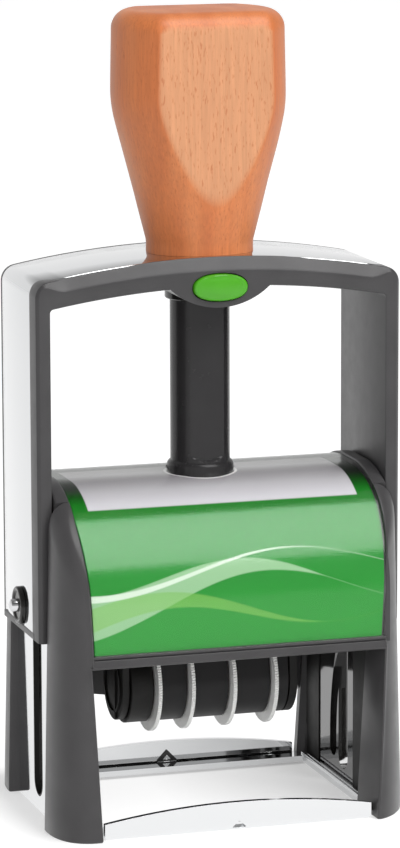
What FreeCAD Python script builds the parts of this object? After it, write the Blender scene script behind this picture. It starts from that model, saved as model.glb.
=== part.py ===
"""A self-inking date stamp with a wooden handle, built piece by piece.

The stamp stands on its base, the front towards -Y, the width along X and up along +Z.
The origin is on the table under the middle of the base. Lengths are in millimetres.
"""

import FreeCAD, Part
import math
import os
import re
import Sketcher

SIZES = {
    # Yoke: the moulding and the chromed strap that carry the handle down
    "yoke_half": 41.5,
    "yoke_deep": 15.65,
    "yoke_top": 126.4,
    "yoke_corner": 3.6,
    "crown_radius": 206.0,
    "arm_width": 2.8,
    "arm_gap": 0.3,
    "arm_end": 41.2,
    "beam_height": 6.5,
    "strap_gauge": 1.6,
    "face_deep": 5.9,
    "bead_deep": 1.4,
    "hub_half": 11.6,
    "hub_drop": 4.7,
    "hub_radius": 17.0,
    "hub_back": 9.6,
    # Motion
    "stroke": 36.0,
    "axle_rest": 46.6,
    "axle_radius": 2.9,
    "axle_play": 0.05,
    "axle_inset": 1.9,
    "axle_end": 44.7,
    "slot_play": 0.35,
    "slot_over": 0.7,
    "slot_foot": 3.7,
    "bush_radius": 5.0,
    "bush_proud": 1.4,
    "bush_neck": 3.85,
    "cam_arm": 7.0,
    "cam_pin": 2.0,
    "cam_play": 0.3,
    "cam_deep": 2.0,
    "cam_end_gap": 0.3,
    "cam_run": 3.0,
    # Guide column and what slides on it
    "column_radius": 6.85,
    "column_top": 134.0,
    "column_bore": 5.2,
    "column_floor": 3.1,
    "flare_radius": 7.5,
    "flare_top": 79.0,
    "flute_half": 3.6,
    "flute_deep": 0.55,
    "flange_half": 13.5,
    "flange_deep": 7.4,
    "flange_gauge": 1.8,
    "flange_screw": 10.6,
    "sleeve_wall": 0.95,
    "sleeve_play": 0.08,
    "sleeve_inset": 0.2,
    "rod_radius": 3.0,
    "rod_foot_gap": 2.4,
    "rod_head": 6.4,
    "rod_head_gauge": 1.6,
    "rod_stud": 2.4,
    "rod_stud_long": 3.6,
    "spring_outer": 4.7,
    "spring_inner": 3.5,
    # Handle
    "handle_top": 180.2,
    "handle_foot": 12.0,
    "handle_foot_top": 128.6,
    "handle_lean": 0.25,
    "handle_bend": 153.0,
    "handle_bend_radius": 40.0,
    "handle_wide": 161.0,
    "handle_radius": 19.3,
    "handle_shoulder": 18.95,
    "handle_flat": 14.5,
    "handle_edge": 4.8,
    "handle_bore": 7.3,
    "handle_crown": 7.8,
    "handle_screw_place": 10.3,
    "handle_screw_long": 14.0,
    # Lock button
    "button_half": 6.2,
    "button_tall": 3.0,
    "button_end": 2.1,
    "button_proud": 1.3,
    "button_deep": 5.0,
    "button_play": 0.3,
    "button_travel": 2.0,
    "button_spring_long": 2.6,
    # Hood and legs
    "hood_axis": 50.8,
    "hood_offset": 4.2,
    "rim_radius": 26.4,
    "window_radius": 26.0,
    "window_gauge": 0.9,
    "card_gauge": 0.25,
    "card_gap": 0.03,
    "shell_gauge": 1.6,
    "label_low": 33.4,
    "label_mid": 34.2,
    "label_high": 35.2,
    "label_gap": 0.2,
    "lip_top": 41.7,
    "lip_under": 38.8,
    "lip_face": 30.5,
    "seam": 10.5,
    "body_half": 41.7,
    "body_deep": 31.1,
    "body_lean": 0.024,
    "front_lean": 0.0098,
    "leg_wide": 9.3,
    "leg_long": 13.6,
    "leg_gauge": 1.7,
    "leg_inner": 31.8,
    "leg_spread": 2.1,
    "channel_half": 16.9,
    "rear_arch": 17.5,
    "rear_arch_end": 21.4,
    "rear_notch": 3.4,
    "rear_step": 15.0,
    "boss_radius": 1.6,
    "screw_radius": 0.9,
    "screw_head": 1.8,
    "screw_head_gauge": 1.1,
    "screw_place": 18.7,
    "screw_low": 12.0,
    "screw_high": 56.0,
    # Frame
    "plate_gauge": 1.2,
    "plate_deep": 20.0,
    "guide_gauge": 3.0,
    "guide_deep": 16.8,
    "bridge_drop": 5.0,
    "bridge_gauge": 1.5,
    "bridge_deep": 13.0,
    "base_gauge": 1.3,
    "base_open_x": 32.0,
    "base_open_y": 22.8,
    "base_corner": 35.0,
    "base_face": 29.0,
    "base_face_half": 31.0,
    "base_face_low": 3.5,
    "base_face_high": 6.2,
    "notch_wide": 3.9,
    "notch_tall": 2.4,
    # Ink pad
    "pad_half": 29.2,
    "pad_deep": 17.6,
    "pad_gauge": 3.0,
    "pad_clear": 1.5,
    "tray_wall": 1.2,
    "tray_roof": 1.2,
    "tray_rim": 2.0,
    "runner_wide": 2.6,
    "runner_play": 0.15,
    "rail_wide": 2.5,
    "rail_wall": 0.9,
    "grip_play": 0.25,
    "grip_gauge": 1.8,
    # Die carrier
    "print_gap": 0.3,
    "die_half": 29.0,
    "die_deep": 17.0,
    "die_gauge": 2.3,
    "carrier_gap": 2.8,
    "plate_thick": 2.3,
    "ear_gauge": 2.0,
    "ear_drop": 6.0,
    "window_half": 20.0,
    "window_deep": 6.0,
    "date_centre": 1.0,
    # Date unit
    "wheel_drop": 18.6,
    "wheel_radius": 11.3,
    "wheel_gauge": 1.2,
    "wheel_tooth": 0.45,
    "wheel_hub": 7.35,
    "wheel_gap": 0.3,
    "wheel_first": 12.8,
    "wheel_second": 5.0,
    "wheel_third": 4.8,
    "wheel_fourth": 14.6,
    "shaft_radius": 2.0,
    "shaft_play": 0.06,
    "shaft_proud": 0.6,
    "band_outer": 9.0,
    "band_inner": 7.65,
    "band_crown": 4.9,
    "band_crown_inner": 3.4,
    "cheek_half": 21.8,
    "cheek_gauge": 1.8,
    "cheek_waist": 7.0,
    "anvil_half": 3.2,
    "anvil_gap": 0.2,
    "tie_half": 2.0,
    "tie_height": 44.0,
}
TEETH = 30

PLACES = {
    "plate_face": "yoke_half - arm_width - arm_gap",
    "plate_back": "plate_face - plate_gauge",
    "guide_face": "plate_back - guide_gauge",
    "beam_under": "yoke_top - beam_height",
    "hub_under": "beam_under - hub_drop",
    "axle_low": "axle_rest - stroke",
    "slot_half": "axle_radius + slot_play",
    "card_outer": "window_radius - window_gauge - card_gap",
    "card_inner": "card_outer - card_gauge",
    "shell_outer": "card_inner - card_gap",
    "shell_inner": "shell_outer - shell_gauge",
    "bridge_under": "hood_axis + shell_inner - bridge_drop",
    "bridge_top": "bridge_under + bridge_gauge",
    "column_seat": "bridge_top + column_floor",
    "sleeve_outer": "column_radius + sleeve_play + sleeve_wall",
    "bore_top": "handle_top - handle_crown",
    "spring_top": "bore_top - rod_head_gauge",
    "die_face": "axle_rest + axle_low - print_gap",
    "plate_top": "die_face - die_gauge",
    "plate_under": "plate_top - plate_thick",
    "pad_face": "die_face + pad_clear",
    "roof_under": "pad_face + pad_gauge",
    "roof_top": "roof_under + tray_roof",
    "plate_half": "guide_face - carrier_gap",
    "tray_half": "pad_half + tray_wall",
    "tray_deep": "pad_deep + tray_wall",
    "runner_half": "tray_half + runner_wide",
    "rail_face": "guide_face - rail_wide",
    "wheel_height": "axle_rest - wheel_drop",
    "band_rise": "die_face - band_crown",
    "cheek_left": "date_centre - cheek_half",
    "cheek_right": "date_centre + cheek_half",
    "leg_inner_top": "leg_inner + leg_spread",
}

doc = FreeCAD.newDocument("date_stamp")
sheet = doc.addObject("Spreadsheet::Sheet", "Sheet")
for row, (name, size) in enumerate(SIZES.items(), start=1):
    sheet.set("A%d" % row, name)
    sheet.set("B%d" % row, str(size))
    sheet.setAlias("B%d" % row, name)
doc.recompute()

NAME = re.compile(r"[a-z]+_[a-z_]+|seam|stroke")


def formula(text):
    """Write places out in driving sizes and point each size at the sheet."""
    text = str(text)
    while any(word in PLACES for word in NAME.findall(text)):
        text = NAME.sub(lambda m: "(%s)" % PLACES[m[0]] if m[0] in PLACES else m[0], text)
    return NAME.sub(lambda m: "Sheet." + m[0] if m[0] in SIZES else m[0], text)


def value(text):
    """The number that a formula gives with the sheet as it is."""
    return float(sheet.evalExpression(formula(text)))


def bind(thing, prop, text):
    thing.setExpression(prop, formula(text))


def minus(text):
    return "-(%s)" % text


def between(side, near, far):
    """Low and high of a span that lies near to far from the middle, on one side."""
    return (near, far) if side > 0 else (minus(far), minus(near))


PIECES = []
CUTS = []


def keep(thing, label):
    """Name a finished piece."""
    thing.Label = label
    PIECES.append(thing)
    return thing


def new_body(label):
    body = doc.addObject("PartDesign::Body", "Body")
    body.Label = label
    return body


def origin_plane(body, role):
    return next(f for f in body.Origin.OriginFeatures if f.Role == role)


def arc_geometry(start, end, middle, turn):
    """An arc from start to end round middle, and the ends' numbers in the sketch."""
    radius = start.distanceToPoint(middle)
    angle = [math.atan2(p.y - middle.y, p.x - middle.x) for p in (start, end)]
    circle = Part.Circle(middle, FreeCAD.Vector(0, 0, 1), radius)
    if turn > 0:
        return Part.ArcOfCircle(circle, angle[0], angle[1]), 1, 2
    return Part.ArcOfCircle(circle, angle[1], angle[0]), 2, 1


def middle_of_bow(start, end, radius, turn):
    """The centre of the shorter arc of a given radius from start to end."""
    half = (end - start) * 0.5
    reach = math.sqrt(max(radius**2 - half.Length**2, 0.0))
    left = FreeCAD.Vector(-half.y, half.x, 0)
    left.normalize()
    return start + half + left * (reach * turn)


def draw_loop(sketch, corners):
    """Draw a closed outline. A corner is (x, y), and a curve to the next corner is
    (x, y, "about", centre x, centre y, turn) or (x, y, "bow", radius, turn)."""
    points = [FreeCAD.Vector(value(c[0]), value(c[1]), 0) for c in corners]
    first = sketch.GeometryCount
    count = len(corners)
    ends = []
    for i, corner in enumerate(corners):
        start, end = points[i], points[(i + 1) % count]
        if len(corner) == 2:
            sketch.addGeometry(Part.LineSegment(start, end), False)
            ends.append((1, 2))
            continue
        if corner[2] == "about":
            middle = FreeCAD.Vector(value(corner[3]), value(corner[4]), 0)
        else:
            middle = middle_of_bow(start, end, value(corner[3]), corner[4])
        arc, head, tail = arc_geometry(start, end, middle, corner[-1])
        sketch.addGeometry(arc, False)
        ends.append((head, tail))
    for i, corner in enumerate(corners):
        here = first + i
        onward = first + (i + 1) % count
        sketch.addConstraint(
            Sketcher.Constraint("Coincident", here, ends[i][1], onward, ends[(i + 1) % count][0])
        )
        fix_point(sketch, here, ends[i][0], corner[0], corner[1])
        if len(corner) == 2:
            continue
        if corner[2] == "bow":
            fix(sketch, Sketcher.Constraint("Radius", here, value(corner[3])), corner[3])
            continue
        chord = points[(i + 1) % count] - points[i]
        if abs(chord.x) >= abs(chord.y):
            fix(sketch, Sketcher.Constraint("DistanceY", -1, 1, here, 3, value(corner[4])), corner[4])
        else:
            fix(sketch, Sketcher.Constraint("DistanceX", -1, 1, here, 3, value(corner[3])), corner[3])


def fix(sketch, constraint, text):
    index = sketch.addConstraint(constraint)
    bind(sketch, "Constraints[%d]" % index, text)


def fix_point(sketch, geometry, end, x, y):
    fix(sketch, Sketcher.Constraint("DistanceX", -1, 1, geometry, end, value(x)), x)
    fix(sketch, Sketcher.Constraint("DistanceY", -1, 1, geometry, end, value(y)), y)


def draw_circle(sketch, x, y, radius):
    centre = FreeCAD.Vector(value(x), value(y), 0)
    index = sketch.addGeometry(Part.Circle(centre, FreeCAD.Vector(0, 0, 1), value(radius)), False)
    fix_point(sketch, index, 3, x, y)
    fix(sketch, Sketcher.Constraint("Radius", index, value(radius)), radius)


def new_sketch(body, role, level, loops):
    """A sketch on one of the body's planes, moved along its normal to level."""
    sketch = body.newObject("Sketcher::SketchObject", "Outline")
    sketch.AttachmentSupport = (origin_plane(body, role), [""])
    sketch.MapMode = "FlatFace"
    bind(sketch, "AttachmentOffset.Base.z", level)
    for loop in loops:
        if loop[0] == "circle":
            draw_circle(sketch, *loop[1:])
        else:
            draw_loop(sketch, loop)
    return sketch


def slab(body, role, low, high, *loops, cut=False):
    """Pad or pocket outlines from low to high along the plane's row axis."""
    level = minus(high) if role == "XZ_Plane" else low
    sketch = new_sketch(body, role, level, loops)
    kind = "PartDesign::Pocket" if cut else "PartDesign::Pad"
    feature = body.newObject(kind, "Slab")
    feature.Profile = sketch
    feature.Reversed = cut
    bind(feature, "Length", "(%s) - (%s)" % (high, low))
    if cut:
        CUTS.append(feature)
    return feature


def across_x(body, low, high, *loops, cut=False):
    """Outlines in Y and Z, along X."""
    return slab(body, "YZ_Plane", low, high, *loops, cut=cut)


def across_y(body, low, high, *loops, cut=False):
    """Outlines in X and Z, along Y."""
    return slab(body, "XZ_Plane", low, high, *loops, cut=cut)


def across_z(body, low, high, *loops, cut=False):
    """Outlines in X and Y, along Z."""
    return slab(body, "XY_Plane", low, high, *loops, cut=cut)


def turned(body, corners):
    """A lathe form about the Z axis, from its outline in X and Z."""
    sketch = new_sketch(body, "XZ_Plane", "0", [corners])
    feature = body.newObject("PartDesign::Revolution", "Turned")
    feature.Profile = sketch
    feature.ReferenceAxis = (sketch, ["V_Axis"])
    feature.Angle = 360
    return feature


def oblong(left, right, low, high):
    return [(left, low), (right, low), (right, high), (left, high)]


def centred(half, low, high):
    return oblong(minus(half), half, low, high)


def oval(x, y, half, tall, end):
    """An oval of two wide bows and two bows of radius end, smooth where they meet."""
    wide = "(((%s - %s)^2 + (%s)^2 - (%s)^2) / (2 * (%s - %s)))" % (half, end, tall, end, tall, end)
    reach = "(%s - %s)" % (wide, end)
    across = "(%s - %s) * (1 + %s / %s)" % (half, end, end, reach)
    up = "(%s - %s) * %s / %s" % (wide, tall, end, reach)
    return [
        ("%s - %s" % (x, across), "%s - %s" % (y, up), "bow", wide, 1),
        ("%s + %s" % (x, across), "%s - %s" % (y, up), "bow", end, 1),
        ("%s + %s" % (x, across), "%s + %s" % (y, up), "bow", wide, 1),
        ("%s - %s" % (x, across), "%s + %s" % (y, up), "bow", end, 1),
    ]


def combine(kind, label, parts):
    thing = doc.addObject("Part::" + kind, label)
    thing.Shapes = parts
    thing.Label = label
    return thing


def fused(label, parts):
    return combine("MultiFuse", label, parts)


def shared(label, parts):
    return combine("MultiCommon", label, parts)


def without(label, base, tool):
    thing = doc.addObject("Part::Cut", label)
    thing.Base = base
    thing.Tool = tool
    thing.Label = label
    return thing


def tool(label, across, low, high, *loops):
    """A plain solid that only shapes other pieces."""
    body = new_body("form " + label)
    across(body, low, high, *loops)
    return body


# Base frame: a ledge round the opening, with an arched flange in front and behind


def base_frame():
    body = new_body("base_frame")
    corner = "(base_face - base_gauge)"
    ledge = []
    for sx, sy in ((1, -1), (1, 1), (-1, 1), (-1, -1)):
        run = [
            ("%d * (base_corner - 2.4)" % sx, "%d * %s" % (sy, corner)),
            ("%d * base_corner" % sx, "%d * (%s - 2.4)" % (sy, corner)),
            ("%d * base_corner" % sx, "%d * guide_deep" % sy),
            ("%d * plate_back" % sx, "%d * guide_deep" % sy),
        ]
        ledge += run if sx * sy < 0 else run[::-1]
    opening = oblong("-base_open_x", "base_open_x", "-base_open_y", "base_open_y")
    across_z(body, "0", "base_gauge", ledge, opening)
    rise = "(base_face_high - base_face_low)"
    bow = "(base_face_half^2 + %s^2) / (2 * %s)" % (rise, rise)
    arch = [
        ("-base_face_half", "0"),
        ("base_face_half", "0"),
        ("base_face_half", "base_face_low", "bow", bow, 1),
        ("-base_face_half", "base_face_low"),
    ]
    notch = [
        ("-notch_wide / 2", "0.5"),
        ("notch_wide / 2", "0.5"),
        ("0", "0.5 + notch_tall"),
    ]
    for side in (-1, 1):
        low, high = between(side, corner, "base_face")
        across_y(body, low, high, arch)
        across_y(body, "%s - 0.01" % low, "%s + 0.01" % high, notch, cut=True)
    return keep(body, "base_frame")


# Side plates: steel cheeks of the frame, each with the straight slot of its axle pin


def slot_outline(half, foot, top):
    """A straight slot in Y and Z with round ends."""
    return [
        (half, "%s + %s" % (foot, half)),
        (half, "%s - %s" % (top, half), "about", "0", "%s - %s" % (top, half), 1),
        (minus(half), "%s - %s" % (top, half)),
        (minus(half), "%s + %s" % (foot, half), "about", "0", "%s + %s" % (foot, half), 1),
    ]


def plate_outline(deep, radius, foot="0"):
    """A plate in Y and Z with its top rounded to the hood."""
    rise = "hood_axis + sqrt(%s^2 - (%s - hood_offset)^2)" % (radius, deep)
    return [
        (minus(deep), foot),
        (deep, foot),
        (deep, rise, "about", "hood_offset", "hood_axis", 1),
        ("hood_offset", "hood_axis + %s" % radius),
        ("-hood_offset", "hood_axis + %s" % radius, "about", "-hood_offset", "hood_axis", 1),
        (minus(deep), rise),
    ]


def side_plate(side):
    body = new_body("side_plate")
    low, high = between(side, "plate_back", "plate_face")
    across_x(body, low, high, plate_outline("plate_deep", "(shell_inner - 0.2)"))
    slot = slot_outline("slot_half", "slot_foot", "(axle_rest + slot_half + slot_over)")
    holes = [
        ("circle", "%d * screw_place" % sy, z, "screw_radius + 0.05")
        for sy in (-1, 1)
        for z in ("screw_low", "screw_high")
    ]
    across_x(body, "%s - 0.01" % low, "%s + 0.01" % high, slot, *holes, cut=True)
    return keep(body, "side_plate_%s" % NAMES[side])


NAMES = {-1: "left", 1: "right"}


# Cam guides: plastic walls inside the plates, whose groove turns the carrier over


def cam_edge(x, aside, steps=24):
    """A wall of the groove: the cam pin's path, moved sideways by aside."""
    arm = value("cam_arm")
    rate = value("stroke") / math.pi
    points = []
    for i in range(steps + 1):
        turn = math.pi * i / steps
        along = FreeCAD.Vector(0, arm * math.sin(turn), arm * math.cos(turn) - rate)
        across = FreeCAD.Vector(0, along.z, -along.y).normalize()
        place = FreeCAD.Vector(x, -arm * math.cos(turn), arm * math.sin(turn) - rate * turn)
        points.append(place + across * aside)
    return points


def cam_groove(side):
    """The room that the cam pin sweeps, as a solid that reaches into the wall."""
    width = value("cam_pin + cam_play")
    x = side * (value("guide_face") - 0.01)
    rear = cam_edge(x, -width)
    front = cam_edge(x, width)
    down = FreeCAD.Vector(0, 0, -1)
    above = down * -value("cam_play")
    below = down * value("cam_run")
    curves = []
    for points in (rear, front):
        curve = Part.BSplineCurve()
        curve.interpolate(Points=points)
        curves.append(curve)
    top = (rear[0] + front[0]) * 0.5 + above - down * width
    bottom = (rear[-1] + front[-1]) * 0.5 + below + down * width
    edges = [
        Part.LineSegment(rear[0] + above, rear[0]),
        curves[0],
        Part.LineSegment(rear[-1], rear[-1] + below),
        Part.Arc(rear[-1] + below, bottom, front[-1] + below),
        Part.LineSegment(front[-1] + below, front[-1]),
        curves[1],
        Part.LineSegment(front[0], front[0] + above),
        Part.Arc(front[0] + above, top, rear[0] + above),
    ]
    wire = Part.Wire(Part.__sortEdges__([edge.toShape() for edge in edges]))
    depth = value("cam_deep") + 0.01
    groove = doc.addObject("Part::Feature", "Groove")
    groove.Shape = Part.Face(wire).extrude(FreeCAD.Vector(side * depth, 0, 0))
    groove.Placement = FreeCAD.Placement(
        FreeCAD.Vector(0, 0, value("axle_rest")), FreeCAD.Rotation()
    )
    groove.Label = "form cam groove " + NAMES[side]
    return groove


def cam_guide(side):
    body = new_body("wall")
    low, high = between(side, "guide_face", "plate_back")
    wall = oblong("-guide_deep", "guide_deep", "base_gauge", "bridge_under")
    across_x(body, low, high, wall)
    slot = slot_outline("slot_half", "slot_foot", "(axle_rest + slot_half + slot_over)")
    across_x(body, "%s - 0.01" % low, "%s + 0.01" % high, slot, cut=True)
    guide = without("cam_guide", body, cam_groove(side))
    return keep(guide, "cam_guide_%s" % NAMES[side])


# Bridge plate: ties the side plates under the hood and carries the column


def bridge_plate():
    body = new_body("bridge_plate")
    outline = oblong("-plate_back", "plate_back", "-bridge_deep", "bridge_deep")
    holes = [("circle", "%d * flange_screw" % side, "0", "1.45") for side in (-1, 1)]
    across_z(body, "bridge_under", "bridge_top", outline, *holes)
    return keep(body, "bridge_plate")


# Housings: two shells that meet on the hood behind the column


def hood_outline(radius, foot, back_foot="", step="0", back_step=""):
    """The hood's side view: two quarter rounds over legs that reach foot in Y."""
    back_foot = back_foot or foot
    back_step = back_step or step
    reach = "(hood_offset + %s)" % radius
    top = "hood_axis + %s" % radius
    outline = [
        (minus(foot), "0"),
        (back_foot, "0"),
    ]
    if back_step != "0":
        outline += [(back_foot, back_step), (reach, back_step)]
    outline += [
        (reach, "hood_axis", "about", "hood_offset", "hood_axis", 1),
        ("hood_offset", top),
        ("-hood_offset", top, "about", "-hood_offset", "hood_axis", 1),
        (minus(reach), "hood_axis"),
    ]
    if step != "0":
        outline += [(minus(reach), step), (minus(foot), step)]
    return outline


def body_plan(half, deep):
    """The plan of the four legs' corners, from three bows at each corner."""
    near = [
        ("(%s - leg_wide)" % half, "(%s)" % deep),
        ("(%s - 0.505 * leg_wide)" % half, "(%s - 0.081 * leg_long)" % deep),
        ("(%s - 0.108 * leg_wide)" % half, "(%s - 0.441 * leg_long)" % deep),
        ("(%s)" % half, "(%s - leg_long)" % deep),
    ]
    bows = ["1.29 * leg_wide", "0.89 * leg_wide", "2.43 * leg_long"]
    outline = []
    for sx, sy in ((1, -1), (1, 1), (-1, 1), (-1, -1)):
        corner = near if sx * sy < 0 else near[::-1]
        radii = bows if sx * sy < 0 else bows[::-1]
        for i, (x, y) in enumerate(corner):
            point = ("%d * %s" % (sx, x), "%d * %s" % (sy, y))
            outline.append(point + (("bow", radii[i], 1) if i < 3 else ()))
    return outline


def body_loft(label, inset):
    """The legs and hood seen from above, leaning in towards the top."""
    high = "90"
    body = new_body("form " + label)
    sketches = []
    for level in ("0", high):
        half = "(body_half - body_lean * %s - %s)" % (level, inset)
        deep = "(body_deep - front_lean * %s - %s)" % (level, inset)
        sketches.append(new_sketch(body, "XY_Plane", level, [body_plan(half, deep)]))
    loft = body.newObject("PartDesign::AdditiveLoft", "Loft")
    loft.Profile = sketches[0]
    loft.Sections = [(sketches[1], [""])]
    loft.Ruled = True
    return body


def label_field(gap, foot, low_half):
    """The index card's field in X and Z, a little wider at the top."""
    sides = [
        ("(%s - %s)" % (low_half, gap), foot),
        ("(label_mid - %s)" % gap, "hood_axis + 6"),
        ("(label_high - %s)" % gap, "hood_axis + 19"),
        ("(label_high - %s)" % gap, "90"),
    ]
    return sides + [(minus(x), z) for x, z in reversed(sides)]


def ring_of_hood(label, outer, inner, low="-80", high="80"):
    """The hood's curved layer between two radii."""
    outside = tool(label + " outside", across_x, low, high, hood_outline(outer, "hood_offset + " + outer))
    inside = tool(label + " inside", across_x, "-85", "85", hood_outline(inner, "hood_offset + " + inner))
    return without("form " + label, outside, inside)


def housing_parts():
    wide = "60"
    outer_side = tool("hood side", across_x, "-60", wide, hood_outline("rim_radius", "body_deep"))
    solid = shared("form hood", [body_loft("body", "0"), outer_side])
    hollow_side = tool(
        "hollow side",
        across_x,
        "-60",
        wide,
        hood_outline(
            "shell_inner",
            "(body_deep - leg_gauge - 0.1)",
            step="lip_under",
            back_step="rear_step",
        ),
    )
    hollow = shared("form hollow", [body_loft("hollow body", "leg_gauge"), hollow_side])
    cutters = [hollow]
    for side in (-1, 1):
        low, high = between(side, "plate_face + 0.05", "60")
        channel = oblong("-channel_half", "channel_half", "-5", "95")
        cutters.append(tool("arm channel", across_x, low, high, channel))
        low, high = between(side, "plate_back - 0.1", "plate_face + 0.05")
        room = plate_outline("(plate_deep + 0.15)", "(shell_inner - 0.02)", "-1")
        cutters.append(tool("plate room", across_x, low, high, room))
    front_arch = [
        ("-leg_inner", "0"),
        ("leg_inner", "0"),
        ("leg_inner_top", "lip_under"),
        ("-leg_inner_top", "lip_under"),
    ]
    cutters.append(tool("front arch", across_y, "-60", "-channel_half", front_arch))
    cutters.append(tool("rear arch", across_y, "channel_half", "60", rear_arch_outline()))
    lip = oblong("-label_low", "label_low", "lip_under - 1", "lip_top")
    cutters.append(tool("lip", across_y, "-60", "-lip_face", lip))
    field = tool("card field", across_y, "-60", "seam", label_field("0", "lip_top", "label_low"))
    under_card = tool(
        "under card", across_x, "-80", "80", hood_outline("shell_outer", "(hood_offset + shell_outer)")
    )
    cutters.append(without("form card recess", field, under_card))
    rear_field = tool("rear field", across_y, "seam", "60", label_field("0", "rear_arch - 6", "leg_inner"))
    flush = tool(
        "flush", across_x, "-80", "80", hood_outline("window_radius", "hood_offset + window_radius")
    )
    cutters.append(without("form rear recess", rear_field, flush))
    hole = ("circle", "0", "0", "flare_radius + 0.3")
    cutters.append(tool("column hole", across_z, "60", "90", hole))
    mouth = centred("runner_half + grip_play", "grip_low - grip_play", "grip_high + grip_play")
    cutters.append(tool("tray mouth", across_y, "channel_half", "60", mouth))
    walls = [without("form housing", solid, fused("form cutters", cutters))]
    for side in (-1, 1):
        walls += [leg_wall(side, -1), leg_wall(side, 1)]
    walls += [screw_boss(*place) for place in SCREW_PLACES]
    bores = [screw_rod(*place, reach="0.8", radius="screw_radius") for place in SCREW_PLACES]
    whole = without("form whole housing", fused("form walls", walls), fused("form bores", bores))
    room = oblong("-70", "70", "-10", "100")
    front = shared("front", [whole, tool("front half", across_y, "-60", "seam", room)])
    rear = shared("rear", [whole, tool("rear half", across_y, "seam", "60", room)])
    return keep(front, "front_housing"), keep(rear, "rear_housing")


PLACES["grip_low"] = "pad_face - 0.1"
PLACES["grip_high"] = "roof_top + 1.0"


def rear_arch_outline():
    """The opening between the rear legs: its upper edge hangs down in the middle."""
    bow = "((leg_inner - 1.8)^2 + (rear_arch_end - rear_arch)^2) / (2 * (rear_arch_end - rear_arch))"
    side = "leg_inner + leg_spread * (rear_arch_end - rear_notch) / lip_under"
    return [
        ("-leg_inner", "0"),
        ("leg_inner", "0"),
        (side, "rear_arch_end - rear_notch"),
        ("leg_inner - 1.8", "rear_arch_end", "bow", bow, -1),
        (minus("leg_inner - 1.8"), "rear_arch_end"),
        (minus(side), "rear_arch_end - rear_notch"),
    ]


def leg_wall(side, end):
    """The inner wall of one leg. It stands on the ledge and leans with the leg."""
    outline = [
        ("%d * leg_inner" % side, "0"),
        ("%d * (leg_inner + leg_gauge)" % side, "0"),
        ("%d * (leg_inner_top + leg_gauge)" % side, "lip_under"),
        ("%d * leg_inner_top" % side, "lip_under"),
    ]
    if side < 0:
        outline.reverse()
    body = new_body("form leg wall")
    low, high = between(end, "channel_half", "body_deep - leg_gauge")
    across_y(body, low, high, outline)
    low, high = between(end, "channel_half - 1", "base_face + 0.3")
    notch = oblong("%d * leg_inner - 4" % side, "%d * leg_inner + 4" % side, "-1", "base_gauge + 0.3")
    across_y(body, low, high, notch, cut=True)
    return body


SCREW_PLACES = [
    (side, end, height)
    for side in (-1, 1)
    for end in (-1, 1)
    for height in ("screw_low", "screw_high")
]


def leg_inside(height):
    """How far from the middle the inside of a leg's outer wall lies."""
    return "(body_half - body_lean * %s - leg_gauge)" % height


def screw_boss(side, end, height):
    """A short boss in a leg that the side plate is screwed to."""
    body = new_body("form boss")
    low, high = between(side, "plate_face", leg_inside(height) + " + 0.9")
    across_x(body, low, high, ("circle", "%d * screw_place" % end, height, "boss_radius"))
    return body


def screw_rod(side, end, height, reach, radius):
    """A round rod from the back of the side plate into the leg's outer wall."""
    body = new_body("form rod")
    low, high = between(side, "plate_back - 0.2", "%s + %s" % (leg_inside(height), reach))
    across_x(body, low, high, ("circle", "%d * screw_place" % end, height, radius))
    return body


def housing_screws():
    screws = []
    for side, end, height in SCREW_PLACES:
        body = screw_rod(side, end, height, "0.7", "screw_radius")
        low, high = between(side, "plate_back - screw_head_gauge", "plate_back")
        across_x(body, low, high, ("circle", "%d * screw_place" % end, height, "screw_head"))
        screws.append(body)
    return keep(group("housing screws", screws), "housing_screws")


def group(label, bodies):
    """Several equal solids that share one node."""
    thing = doc.addObject("Part::Compound", "Group")
    thing.Links = bodies
    thing.Label = label
    return thing


# Index card and its clear window, curved over the hood


def card_layer(label, outer, inner, gap):
    layer = ring_of_hood(label, outer, inner)
    foot = "lip_top + label_gap"
    field = tool(label + " field", across_y, "-60", "seam - label_gap", label_field(gap, foot, "label_low"))
    hole = tool(label + " hole", across_z, "60", "90", ("circle", "0", "0", "flare_radius + 0.25"))
    return without(label, shared("form " + label + " sheet", [layer, field]), hole)


def label_card():
    return keep(card_layer("card", "card_outer", "card_inner", "label_gap + 0.1"), "label_card")


def index_window():
    return keep(
        card_layer("window", "window_radius", "(card_outer + card_gap)", "label_gap"), "index_window"
    )


# Guide column: a tube on the bridge, with a flared foot and a flute in front


def guide_column():
    body = new_body("guide_column")
    skin = "flare_radius - column_radius"
    profile = [
        ("0", "bridge_top"),
        ("flare_radius", "bridge_top"),
        ("flare_radius", "flare_top - 1.1", "bow", "2.0", -1),
        ("column_radius", "flare_top"),
        ("column_radius", "column_top - 1"),
        ("column_radius - 0.8", "column_top"),
        ("0", "column_top"),
    ]
    turned(body, profile)
    plate = oblong("-flange_half", "flange_half", "-flange_deep", "flange_deep")
    holes = [("circle", "%d * flange_screw" % side, "0", "1.3") for side in (-1, 1)]
    across_z(body, "bridge_top", "bridge_top + flange_gauge", plate, *holes)
    across_z(body, "column_seat", "column_top + 1", ("circle", "0", "0", "column_bore"), cut=True)
    tip = "flute_half"
    flute = [
        (minus(tip), "flare_top + 0.9", "bow", "flute_half * 1.5", 1),
        (tip, "flare_top + 0.9"),
        (tip, "column_top + 1"),
        (minus(tip), "column_top + 1"),
    ]
    face = "sqrt(column_radius^2 - flute_half^2) + flute_deep * 0.1"
    across_y(body, "-column_radius - 1", minus(face), flute, cut=True)
    assert value(skin) > 0
    return keep(body, "guide_column")


def column_screws():
    screws = []
    for side in (-1, 1):
        body = new_body("form column screw")
        x = "%d * flange_screw" % side
        across_z(body, "bridge_under - 1.3", "bridge_under", ("circle", x, "0", "2.4"))
        across_z(body, "bridge_under - 0.2", "bridge_top + flange_gauge", ("circle", x, "0", "1.3"))
        screws.append(body)
    return keep(group("column screws", screws), "column_screws")


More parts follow.
